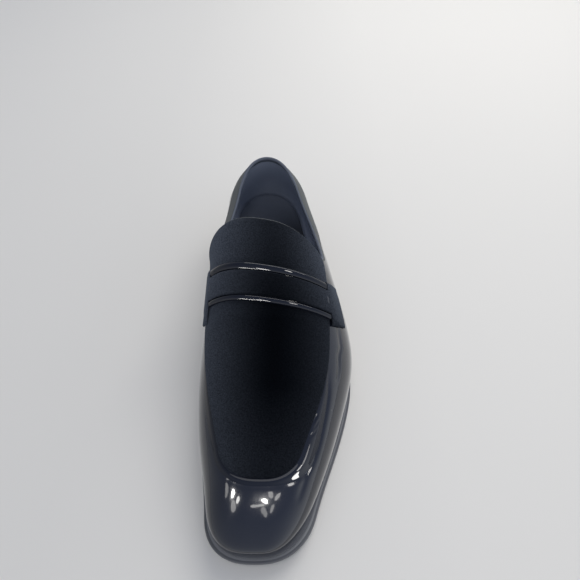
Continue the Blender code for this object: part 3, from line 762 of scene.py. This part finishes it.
# Section of the roll: inside the seam in millimetres and shares of the height, outside it in shares of both
ROLL_INNER = np.array([(-0.9, -0.5), (-0.65, 0.3), (-0.35, 0.72), (0.0, 0.88)])
ROLL_OUTER = np.array([(0.12, 0.95), (0.25, 1.0), (0.38, 1.0), (0.52, 0.9), (0.65, 0.7), (0.78, 0.43),
                       (0.9, 0.18), (1.0, 0.0), (1.12, -0.16)])

# Puckers on the lateral side: path, width and depth
ROLL_PUCKERS = [
    ([(33.4, 69.5, 40.5), (35.0, 72.0, 40.5), (36.4, 75.0, 40.5)], 0.8, 0.35),
    ([(34.0, 65.5, 39.5), (36.0, 68.5, 39.5), (37.6, 72.0, 39.0)], 0.8, 0.35),
    ([(31.8, 62.0, 38.8), (34.4, 64.0, 38.5), (36.4, 67.5, 38.0)], 0.8, 0.25),
]


def plan_normals(line):
    """Unit normals of a line in plan, all to one side of it."""
    lie = unit(np.gradient(line, axis=0))
    return np.stack([lie[:, 1], -lie[:, 0]], -1)


def crest_normals(grid, crest):
    """Unit normals of a grid of points, turned so that they point up in its crest's column."""
    normals = grid_normals(grid, False)
    return normals * np.sign(normals[:, crest:crest + 1, 2:])


roll_patent = new_material("roll_patent", base_color=(0.006, 0.0075, 0.013, 1.0), roughness=0.2,
                           coat_weight=0.95, coat_roughness=0.035, specular_ior_level=0.0)
line = even_line(edge, ROLL_POINTS)
outward = plan_normals(line)
outward *= -np.sign(outward[ROLL_POINTS // 2, 1])
width, height = [size[:, None] for size in roll_size(line)[:2]]
out = np.concatenate([np.tile(ROLL_INNER[:, 0], (ROLL_POINTS, 1)), ROLL_OUTER[:, 0] * width], 1)
up = np.concatenate([ROLL_INNER[:, 1], ROLL_OUTER[:, 1]]) * height
fine = np.linspace(0, out.shape[1] - 1, ROLL_COLUMNS)
low = np.minimum(fine.astype(int), out.shape[1] - 2)
out, up = [v[:, low] + (v[:, low + 1] - v[:, low]) * (fine - low) for v in (out, up)]
for _ in range(ROLL_SMOOTHING):
    up[:, 1:-1] = (up[:, :-2] + 2 * up[:, 1:-1] + up[:, 2:]) / 4
spots = line[:, None] + outward[:, None] * out[..., None]
roll_skin = on_last(spots[..., 0], spots[..., 1], up)
pucker = sum(wrinkle(roll_skin, *crease) for crease in ROLL_PUCKERS)
roll_skin = on_last(spots[..., 0], spots[..., 1], up - pucker)
under = on_last(line[:, 0], line[:, 1], ROLL_UNDER)
rings = np.concatenate([roll_skin, under[:, None]], 1)[height[:, 0] > ROLL_LEAST]
roll = add_tube("rolled_edge", rings, roll_patent, flip=True)
on_roll = (roll, roll_skin, crest_normals(roll_skin, ROLL_CREST))

# Tongue: the same velvet, backed with lining leather, wide with round top corners. Its sides lie on the
# quarters and its top stands free over the throat.
TONGUE_START, TONGUE_END = 152.6, 196.2
TONGUE_CORNER, TONGUE_POWER, TONGUE_TURN = 16.0, 2.6, 86.0
TONGUE_FREE, TONGUE_SPREAD = 172.0, 4.0
TONGUE_EDGE, TONGUE_ROUND = 0.35, 1.2
TONGUE_ROWS, CROWN_ROWS, RIM_POINTS, EDGING_POINTS = 40, 34, 500, 420

# Section of the backing's edge: out from the rim, and up
BACKING = np.array([(-1.6, -0.2), (0.3, -0.2), (0.5, -0.05), (0.55, 0.15), (0.4, 0.3), (-1.6, 0.3)])


def rim_of(grid):
    """What a grid holds round three sides: its first column, last row and last column."""
    return np.concatenate([grid[:, 0], grid[-1], grid[::-1, -1]])


turn = np.radians(np.linspace(0, TONGUE_TURN, CROWN_ROWS))
width = np.concatenate([np.ones(TONGUE_ROWS), np.cos(turn)**(2 / TONGUE_POWER)])
crown = TONGUE_END - TONGUE_CORNER * (1 - np.sin(turn)**(2 / TONGUE_POWER))
sides = np.linspace(TONGUE_START, TONGUE_END - TONGUE_CORNER, TONGUE_ROWS, endpoint=False)
along = np.concatenate([sides, crown])
x, y = panel_line(along[:, None], width[:, None], across)
plan = np.stack([x, y], -1)
inside = nearest_on(plan, even_line(rim_of(plan), RIM_POINTS))[0]
to_medial = np.clip(-across * width[:, None], 0, 1)
free = smooth_step((along - TONGUE_FREE) / (TONGUE_END - TONGUE_FREE))[:, None]
base = LAY + TONGUE_SPREAD * free * to_medial**2
pile_top = base + TONGUE_EDGE + (NAP_THICK - TONGUE_EDGE) * cushion_edge(inside, TONGUE_ROUND)
pile_solid("tongue_velvet", on_last(x, y, pile_top), on_last(x, y, base), "tongue")

edging = even_line(np.column_stack([rim_of(plan), rim_of(base)]), EDGING_POINTS)
outward = plan_normals(edging[:, :2])
from_middle = edging[:, :2] - (PANEL_MIDDLE, TONGUE_START)
outward *= np.sign(np.sum(outward * from_middle, -1, keepdims=True))
spots = edging[:, None, :2] + outward[:, None] * BACKING[:, 0, None]
rings = on_last(spots[..., 0], spots[..., 1], edging[:, None, 2] + BACKING[:, 1])
add_tube("tongue_backing", rings, strip_leather)

# Saddle band: patent leather across the apron, with a cord under the film along both edges, so that each
# edge stands up as a glossy bead.
BAND_FRONT, BAND_BACK = 141.3, 166.0
BAND_MEDIAL, BAND_LATERAL = -0.80, 0.70
BAND_THICK = 0.9
FRONT_BEAD, BACK_BEAD, BEAD_CLEAR = (3.4, 2.2), (4.8, 2.6), 0.8
BEAD_STEPS, FLAT_STEPS, UNDER_STEPS, BAND_POINTS, BAND_CREST = 15, 7, 13, 140, 6
SHARE_STEPS = 600
OVER_APRON = LAY + NAP_THICK + GAP


def on_saddle(across, place, lift):
    """Points of the saddle: across is the share of the half width, place is behind the band's front edge."""
    middle = (BAND_FRONT + BAND_BACK) / 2
    along = BAND_FRONT + place - PANEL_SKEW * across * half_width(middle, across)
    return on_last(spline(LAST, "ridge", along) + across * half_width(along, across), along, lift)


def saddle_shares(start, end, count):
    """Shares of the half width at equal lengths across the saddle."""
    fine = np.linspace(start, end, SHARE_STEPS)
    line = on_saddle(fine, (BAND_BACK - BAND_FRONT) / 2, 0.0)
    return even_line(fine[:, None], count, line)[:, 0]


def bead(start, size):
    """Half-round profile of a raised edge: place across it, and height."""
    turn = np.linspace(np.pi, 0, BEAD_STEPS)
    width, height = size
    place = start + width / 2 * (1 + np.cos(turn))
    return np.stack([place, BAND_THICK + (height - BAND_THICK) * np.sin(turn)], -1)


bead_patent = new_material("bead_patent", base_color=(0.004, 0.005, 0.009, 1.0), roughness=0.2,
                           coat_weight=1.0, coat_roughness=0.03, specular_ior_level=0.0)
depth = BAND_BACK - BAND_FRONT
flat = np.linspace(FRONT_BEAD[0] + BEAD_CLEAR, depth - BACK_BEAD[0] - BEAD_CLEAR, FLAT_STEPS)
flat = np.stack([flat, np.full(FLAT_STEPS, BAND_THICK)], -1)
under = np.stack([np.linspace(depth, 0, UNDER_STEPS), np.zeros(UNDER_STEPS)], -1)
profile = np.concatenate([bead(0.0, FRONT_BEAD), flat, bead(depth - BACK_BEAD[0], BACK_BEAD), under])
across_band = saddle_shares(BAND_MEDIAL, BAND_LATERAL, BAND_POINTS)
band_skin = on_saddle(across_band[:, None], profile[:, 0], OVER_APRON + profile[:, 1])
ends = band_skin[[0, -1]].mean(1, keepdims=True).repeat(len(profile), 1)
rings = np.concatenate([ends[:1], band_skin, ends[1:]])
band = add_tube("saddle_band", rings, bead_patent, "strap_base", flip=True)
on_band = (band, band_skin, crest_normals(band_skin, BAND_CREST))

# Saddle strap: a velvet strip laid between the two beads. Past the band's ends it widens into two tabs
# that come down on the patent sides and are held there by a short bar tack.
STRAP_THICK, STRAP_EDGE, STRAP_ROUND, TAB_ROUND = 1.3, 0.35, 1.0, 2.6
STRAP_POINTS, STRAP_ROWS = 180, 37

# Shares of the half width, lateral 1 and medial -1: where a tab starts and where its under side and its top
# are down, and the millimetres in a whole one, for its end and for its corners
TAB_START, UNDER_END, TOP_END = {1: 0.706, -1: 0.81}, {1: 0.75, -1: 0.85}, {1: 0.89, -1: 0.91}
END_SCALE, CORNER_SCALE = {1: 55.0, -1: 45.0}, {1: 57.0, -1: 46.0}

# Reach of the strap in front of the band and behind it, by the share of the half width
STRAP_REACH = table("across front back", [
    (-0.92, 8.5, 2.8), (-0.90, 10.2, 3.2), (-0.845, 10.6, 2.0), (-0.825, 7.0, 0.6), (-0.81, -3.8, -5.2),
    (0.706, -3.8, -5.2), (0.718, 2.9, 1.2), (0.82, 0.4, 4.4), (0.905, -2.9, 6.4),
])


def past_start(across):
    """Share of the half width past the start of the tab on that side."""
    return np.where(across > 0, across - TAB_START[1], -across - TAB_START[-1])


def strap_lift(across, ends):
    """Height of the strap's under side: over the band, then down on the upper or, medially, on the apron."""
    fall = np.where(across > 0, ends[1] - TAB_START[1], ends[-1] - TAB_START[-1])
    over_band = OVER_APRON + BAND_THICK + GAP
    rest = np.where(across > 0, LAY, OVER_APRON)
    return over_band + (rest - over_band) * smooth_step(past_start(across) / fall)


knots = STRAP_REACH["across"]
across_strap = np.unique(np.concatenate([saddle_shares(knots[0], knots[-1], STRAP_POINTS), knots]))
front = -np.interp(across_strap, knots, STRAP_REACH["front"])
back = depth + np.interp(across_strap, knots, STRAP_REACH["back"])
share = 0.5 - 0.5 * np.cos(np.linspace(0, np.pi, STRAP_ROWS))
place = front + (back - front) * share[:, None]
ends = np.minimum((across_strap - knots[0]) * END_SCALE[-1], (knots[-1] - across_strap) * END_SCALE[1])
from_end = np.minimum(np.minimum(place - front, back - place), ends)
past = np.maximum(-place, place - depth) > 0
corner = past_start(across_strap) * np.where(across_strap > 0, CORNER_SCALE[1], CORNER_SCALE[-1])
from_end = np.where(past, np.minimum(from_end, np.maximum(corner, 0.0)), from_end)
under_lift = np.broadcast_to(strap_lift(across_strap, UNDER_END), place.shape)
full = strap_lift(across_strap, TOP_END) + STRAP_THICK - under_lift - STRAP_EDGE
top_lift = under_lift + STRAP_EDGE + full * cushion_edge(from_end, np.where(past, TAB_ROUND, STRAP_ROUND))
top, under = [on_saddle(across_strap, place, lift) for lift in (top_lift, under_lift)]
pile_solid("strap_velvet", top, under, "strap")

# Bar tacks: share of the half width and place behind the band's front edge
TACKS = [(0.687, 12.2), (-0.79, 11.4)]
TACK_LONG, TACK_WIDE, TACK_FLAT, TACK_SCALE = 4.6, 0.9, 0.7, 45.0
TACK_TURNS, TACK_TWIST, TACK_BLUNT = 11, 0.14, 8
TACK_POINTS, TACK_SIDES = 161, 10
tack_thread = new_material("tack_thread", base_color=(0.06, 0.065, 0.075, 1.0), roughness=0.7)
reach = np.linspace(-0.5, 0.5, TACK_POINTS)[:, None]
turn = np.linspace(0, 2 * np.pi, TACK_SIDES, endpoint=False)
twist = 1 - TACK_TWIST + TACK_TWIST * np.cos(2 * np.pi * TACK_TURNS * reach)
bulge = 0.5 * TACK_WIDE * np.sqrt(np.clip(1 - (2 * reach)**TACK_BLUNT, 0, 1)) * twist
ropes = []
for share, at in TACKS:
    rise = strap_lift(np.array(share), TOP_END) + STRAP_THICK + TACK_FLAT * bulge * np.sin(turn)
    ropes.append(on_saddle(share + bulge * np.cos(turn) / TACK_SCALE, at + TACK_LONG * reach, rise))
quads = grid_quads(TACK_POINTS, TACK_SIDES, wrap=True)
add_piece("bar_tacks", np.concatenate([rope.reshape(-1, 3) for rope in ropes]),
          np.concatenate([quads, quads + TACK_POINTS * TACK_SIDES]), tack_thread)

# Welt: a strip of black leather sewn to the upper's drawn-in edge all round, so that the sole can be
# fixed to it. Its edge is trimmed just inside the sole's.
SOLE_LENGTH, WELT_STEP = 298.0, 2.6
SOLE_HEEL_END = (36.0, 2.15)
SOLE_ENDS = (26.0, 2.5, *SOLE_HEEL_END)
SOLE = table("along lateral medial", [
    (0.0, 28.5, 29.5), (30.0, 37.3, 32.6), (60.0, 49.2, 38.2), (90.0, 59.5, 41.4), (115.0, 63.6, 42.2),
    (150.0, 57.8, 39.6), (190.0, 46.4, 35.4), (225.0, 37.6, 31.6), (262.0, 33.0, 32.5), (298.0, 32.0, 32.0),
])
SOLE_COUNTS = (70, 190, 60)
WELT_EDGE = [(0.0, 0.0), (0.0, WELT_THICK - 0.6), (0.2, WELT_THICK - 0.15), (0.7, WELT_THICK)]


def sole_sides(share, along, inset):
    """Lateral and medial x of the sole's outline, inset."""
    sides = ((1, "lateral"), (-1, "medial"))
    return [side * share * (spline(SOLE, name, along) - inset) for side, name in sides]


def sole_outline(inset):
    """Lateral x, medial x and place along the foot of the sole's outline, inset all round."""
    share, along = stations(inset, SOLE_LENGTH - inset, *SOLE_ENDS, SOLE_COUNTS)
    return *sole_sides(share, along, inset), along


def feather_outline(inset):
    """Lateral x, medial x and place along the foot inside the upper's lower edge."""
    share, along = stations(*UPPER_ENDS, SOLE_COUNTS)
    lateral, medial = [last_band(share, along, 0.0, side, inset) for side in (1, -1)]
    return lateral[:, 0], medial[:, 0], lateral[:, 1]


def sole_ring(outline, height):
    """A closed ring on an outline, at a height over the outsole's underside."""
    return closed_outline(*outline, underside(outline[2]) + height)


def sole_leather(name, tones, shine):
    """Black waxed leather: faint grain, and a gloss that comes and goes."""
    return new_leather(name, tones, (*shine, 0.3, 0.7), (600.0, 60.0), 0.12)


# Welt tones: black leather lifted to dark grey, a painted sheen of the wax
WELT_TONES = ((0.085, 0.088, 0.094), (0.115, 0.119, 0.127))
welt_leather = sole_leather("welt_leather", WELT_TONES, (0.35, 0.55))
corners = [(sole_outline(WELT_STEP + inset), height) for inset, height in WELT_EDGE]
corners += [(feather_outline(WALL + GAP), height) for height in (WELT_THICK, 0.0)]
rings = [sole_ring(outline, OUTSOLE_THICK + GAP + height) for outline, height in corners + corners[:1]]
add_tube("welt_strip", np.array(rings), welt_leather, "welt")

# Outsole: a bend of sole leather cemented under the welt, its edge rounded, dyed black and burnished
# with wax.
OUTSOLE_ROUND, ROUND_STEPS = 1.4, 7
# Outsole tones: black leather lifted to dark grey, a painted sheen of the wax
OUTSOLE_TONES = ((0.08, 0.082, 0.086), (0.11, 0.113, 0.118))
outsole_leather = sole_leather("sole_leather", OUTSOLE_TONES, (0.25, 0.42))
turns = np.radians(np.linspace(0, 90, ROUND_STEPS))
low = [(OUTSOLE_ROUND * (1 - np.sin(turn)), OUTSOLE_ROUND * (1 - np.cos(turn))) for turn in turns]
high = [(inset, OUTSOLE_THICK - height) for inset, height in reversed(low)]
rings = [sole_ring(sole_outline(inset), height) for inset, height in low + high]
ring_solid("outsole_leather", rings, outsole_leather, "outsole")

# Ledge beside the welt, lighter grey as painted light on the outsole's up-facing top. Its rows: inset, and
# height over the outsole's top
LEDGE = [(1.5, -0.2), (1.5, 0.06), (WELT_STEP + 0.5, 0.1), (WELT_STEP + 0.5, -0.2)]
LEDGE_PAINTED_LIGHT_TONES = ((0.2, 0.203, 0.206), (0.25, 0.253, 0.256))
ledge_painted_light = sole_leather("ledge_painted_light", LEDGE_PAINTED_LIGHT_TONES, (0.4, 0.55))
rings = [sole_ring(sole_outline(inset), OUTSOLE_THICK + height) for inset, height in LEDGE + LEDGE[:1]]
add_tube("sole_ledge", np.array(rings), ledge_painted_light)

# Heel: leather lifts stacked and nailed under the seat, dyed and burnished with the sole's edge, on a
# rubber top lift that is set off by a fine groove.
HEEL_BREAST, HEEL_HEIGHT, HEEL_TAPER, HEEL_STEP, TOP_LIFT = 222.0, 21.7, 2.4, 0.8, 6.0
HEEL_CHAMFER, LIFT_GROOVE, LIFT_GROOVE_DEPTH, GROOVE_SLOPE = 0.5, 0.8, 0.6, 0.1
LIFT_JOINTS, LIFT_LINE, LIFT_LINE_HALF = (11.5, 16.2), 0.14, 0.2
HEEL_COUNTS = (1, 40, 60)

HEEL_TONES = ((0.02, 0.02, 0.022), (0.04, 0.04, 0.043))
heel_leather = sole_leather("heel_leather", HEEL_TONES, (0.3, 0.5))


def heel_inset(height):
    """How far the heel's side stands in: it tapers evenly down to the floor."""
    return HEEL_STEP + HEEL_TAPER * (1 - height / HEEL_HEIGHT)


lift_side = heel_inset(TOP_LIFT)
levels = [(heel_inset(0.0) + HEEL_CHAMFER, 0.0), (heel_inset(HEEL_CHAMFER), HEEL_CHAMFER),
          (lift_side, TOP_LIFT), (lift_side + LIFT_GROOVE_DEPTH, TOP_LIFT + GROOVE_SLOPE),
          (lift_side + LIFT_GROOVE_DEPTH, TOP_LIFT + LIFT_GROOVE),
          (lift_side, TOP_LIFT + LIFT_GROOVE + GROOVE_SLOPE)]
for joint in LIFT_JOINTS:
    levels += [(heel_inset(joint), joint - LIFT_LINE_HALF), (heel_inset(joint) + LIFT_LINE, joint),
               (heel_inset(joint), joint + LIFT_LINE_HALF)]
levels.append((HEEL_STEP, None))
share, along = stations(HEEL_BREAST, SOLE_LENGTH, 0.0, 2.0, *SOLE_HEEL_END, HEEL_COUNTS)
share, along = share[1:], along[1:]
rings = []
for inset, height in levels:
    place = HEEL_BREAST + (along - HEEL_BREAST) * (1 - inset / (SOLE_LENGTH - HEEL_BREAST))
    top = underside(place) - GAP if height is None else np.full_like(place, height)
    rings.append(closed_outline(*sole_sides(share, along, inset), place, top))
ring_solid("heel_stack", rings, heel_leather, "heel")

# Stage: a pale floor with painted shade that darkens it towards the left, a soft even room and three wide
# soft lights. Small lamps show as glints in the patent of the toe, the roll and the beads, and each of them
# shines on one piece only.
CAMERA_AT, CAMERA_PITCH, FOCAL, IMAGE = (19.6, -28.8, 295.9), 52.0, 436.0, 580
LAMP_AWAY, LAMP_TINT = 1400.0, (1.0, 0.98, 0.95)
RAY_START, RAY_END, RAY_STEPS = 200.0, 330.0, 6000
FLOOR_HALF = 6.0
ACROSS, ALONG = (1.0, 0.0, 0.0), (0.0, 1.0, 0.0)

floor_paint = new_material("floor_paint", roughness=0.7)
tree = floor_paint.node_tree
place = place_in(tree)
# Painted shade across the floor: darker to the left, lighter to the right, with a slow random tint
floor_painted_shade = spread_value(tree, axes_of(tree, place)["X"], 0.0, 0.9, -0.14, 0.12)
tint = weigh(tree, "MULTIPLY_ADD", noise(tree, place, 6.0, 4.0), 0.1, floor_painted_shade)
feed(tree, "Base Color", blend_colour(tree, tint, (0.722, 0.702, 0.65), (0.81, 0.785, 0.722)))
mesh = bpy.data.meshes.new("floor")
corners = [(x * FLOOR_HALF, y * FLOOR_HALF, 0.0) for x, y in ((-1, -1), (1, -1), (1, 1), (-1, 1))]
mesh.from_pydata(corners, [], [(0, 1, 2, 3)])
mesh.materials.append(floor_paint)
floor = bpy.data.objects.new("floor", mesh)
bpy.context.scene.collection.objects.link(floor)

world = bpy.data.worlds.new("room")
world.use_nodes = True
tree = world.node_tree
background = tree.nodes["Background"].inputs
way = axes_of(tree, place_in(tree, "Generated"))
rise = spread_value(tree, way["Z"], 0.0, 1.0, 0.0, 0.8)
aside = spread_value(tree, way["X"], 0.58, 1.28, -1.0, 1.0)
ahead = spread_value(tree, way["Y"], 1.35, 1.0, -0.6, 0.1)
tree.links.new(blend_colour(tree, rise, (0.78, 0.81, 0.85), (0.22, 0.255, 0.36)), background["Color"])
tree.links.new(weigh(tree, "MULTIPLY", aside, ahead), background["Strength"])
bpy.context.scene.world = world


def add_light(name, at, facing, across, size, radiance, mirrored=True, shape="RECTANGLE"):
    """An area light in metres that faces along a direction, with its first side along another."""
    light = bpy.data.lights.new(name, "AREA")
    light.shape = shape
    light.color = LAMP_TINT
    light.size, light.size_y = size
    area = size[0] * size[1] * (np.pi / 4 if shape == "ELLIPSE" else 1.0)
    light.energy = radiance * np.pi * area
    lamp = bpy.data.objects.new(name, light)
    back = -unit(np.asarray(facing, float))
    right = unit(across - back * np.dot(across, back))
    turn = np.eye(4)
    turn[:3, 0], turn[:3, 1], turn[:3, 2], turn[:3, 3] = right, np.cross(back, right), back, at
    lamp.matrix_world = Matrix(turn.tolist())
    lamp.visible_glossy = mirrored
    bpy.context.scene.collection.objects.link(lamp)
    return lamp


# Soft lights: name, place, direction, way of the first side, size, radiance, and whether it is mirrored
SOFT_LIGHTS = [
    ("soft_right", (0.5, 0.75, 1.05), (-0.5, -0.75, -1.05), ALONG, (0.9, 0.9), 2.6, False),
    ("soft_top", (-0.1, -0.3, 1.6), (0.1, 0.3, -1.6), ACROSS, (0.4, 0.4), 9.0, False),
    ("soft_back", (0.35, 1.2, 1.15), (-0.2, -1.2, -1.1), ACROSS, (1.5, 0.22), 5.0, True),
]
for soft_light in SOFT_LIGHTS:
    add_light(*soft_light)

camera_cos, camera_sin = np.cos(np.radians(CAMERA_PITCH)), np.sin(np.radians(CAMERA_PITCH))


def mirrored_way(u, v):
    """Where the camera's ray through a pixel of the picture meets the toe, and where it goes from there."""
    a, b = (u - IMAGE / 2) / FOCAL, (IMAGE / 2 - v) / FOCAL
    ray = unit(np.array([a, camera_cos + b * camera_sin, b * camera_cos - camera_sin]))
    steps = CAMERA_AT + np.linspace(RAY_START, RAY_END, RAY_STEPS)[:, None] * ray
    under = steps[:, 2] < last_height(steps[:, 0], np.clip(steps[:, 1], UPPER_START, UPPER_END))
    spot = steps[under.argmax()]
    normal = on_last(spot[0], spot[1], 1.0) - on_last(spot[0], spot[1], 0.0)
    return spot, ray - 2 * np.dot(ray, normal) * normal


def add_glint(name, piece, spot, way, across, size, radiance):
    """A lamp that a spot mirrors along a way. It is kept to one piece, so that it shows there alone."""
    place = (spot + way * LAMP_AWAY - PLAN_CENTRE) * MM
    lamp = add_light(name, place, -way, across, size, radiance, shape="ELLIPSE")
    kept = bpy.data.collections.new(name)
    kept.objects.link(piece)
    lamp.light_linking.receiver_collection = kept


def add_skin_glint(name, skinned, pixel, across, size, radiance):
    """A lamp placed where a piece's own skin mirrors it at a pixel."""
    piece, skin, normals = skinned
    ray = skin - CAMERA_AT
    depth = ray[..., 1] * camera_cos - ray[..., 2] * camera_sin
    rise = ray[..., 1] * camera_sin + ray[..., 2] * camera_cos
    u, v = IMAGE / 2 + FOCAL * ray[..., 0] / depth, IMAGE / 2 - FOCAL * rise / depth
    off = np.hypot(u - pixel[0], v - pixel[1])
    facing = np.sum(ray * normals, -1)
    at = np.unravel_index(np.where(facing < 0, off, np.inf).argmin(), off.shape)
    way = unit(ray[at] - 2 * facing[at] * normals[at])
    add_glint(name, piece, skin[at], way, across, size, radiance)


def add_toe_glint(name, pixel, long_half, short_half, radiance):
    """A lamp placed where the toe mirrors it at a pixel, as large as the glint is there."""
    spot, way = mirrored_way(*pixel)
    ends = [mirrored_way(pixel[0] + half[0], pixel[1] + half[1])[1] - way for half in (long_half, short_half)]
    size = [2 * np.linalg.norm(end) * LAMP_AWAY * MM for end in ends]
    add_glint(name, upper, spot, way, ends[0], size, radiance)


# Glints on the toe: name, pixel, the glint's long and short half in pixels, radiance
TOE_GLINTS = [
    ("lamp_left", (233.0, 493.6), (0.4, 3.1), (1.7, 0.0), 70.0),
    ("lamp_left_low", (237.8, 500.0), (-0.8, 4.0), (1.7, 0.0), 14.0),
    ("lamp_left_top", (227.1, 486.6), (1.0, 6.0), (2.0, 0.0), 3.0),
    ("lamp_left_tail", (233.2, 506.5), (1.2, 5.5), (2.2, 0.0), 4.0),
    ("lamp_right", (265.0, 500.8), (2.9, 1.4), (-1.0, 2.0), 70.0),
    ("lamp_right_side", (259.5, 505.7), (5.0, -0.6), (0.0, 1.3), 6.0),
    ("lamp_right_top", (270.9, 493.8), (1.2, 4.8), (2.6, 0.0), 5.0),
    ("lamp_right_out", (277.6, 497.0), (3.2, -4.6), (1.2, 0.8), 6.0),
    ("lamp_right_low", (264.6, 512.0), (1.6, 5.5), (2.4, 0.0), 3.4),
    ("lamp_right_tail", (272.3, 508.3), (1.8, -4.8), (1.3, 0.5), 4.0),
]
for toe_glint in TOE_GLINTS:
    add_toe_glint(*toe_glint)

# Glints on a skin: name, piece and skin, pixel, way of the lamp's first side, size in metres, radiance
SKIN_GLINTS = [
    ("lamp_corner", on_roll, (295.9, 475.5), ALONG, (0.35, 0.35), 25.0),
    ("lamp_roll", on_roll, (299.5, 468.5), ALONG, (0.2, 0.3), 12.0),
    ("lamp_roll_back", on_roll, (304.5, 460.0), ALONG, (0.3, 0.3), 5.0),
    ("lamp_bead", on_band, (247.0, 268.2), ALONG, (0.4, 0.1), 80.0),
    ("lamp_bead_side", on_band, (264.0, 269.0), ALONG, (0.3, 0.1), 40.0),
    ("lamp_bead_front", on_band, (293.2, 303.8), ALONG, (0.4, 0.2), 16.0),
    ("lamp_front", on_roll, (256.0, 480.8), ACROSS, (1.6, 0.3), 1.2),
    ("lamp_dip", on_side, (291.3, 485.5), ALONG, (0.22, 0.16), 9.0),
]
for skin_glint in SKIN_GLINTS:
    add_skin_glint(*skin_glint)

camera = bpy.data.cameras.new("camera")
camera.sensor_width = 36.0
camera.lens = camera.sensor_width * FOCAL / IMAGE
camera.clip_start = 0.01
eye = bpy.data.objects.new("camera", camera)
eye.location = (np.array(CAMERA_AT) - PLAN_CENTRE) * MM
eye.rotation_euler = (np.radians(90.0 - CAMERA_PITCH), 0.0, 0.0)
bpy.context.scene.collection.objects.link(eye)
bpy.context.scene.camera = eye
bpy.context.scene.view_settings.view_transform = "Standard"
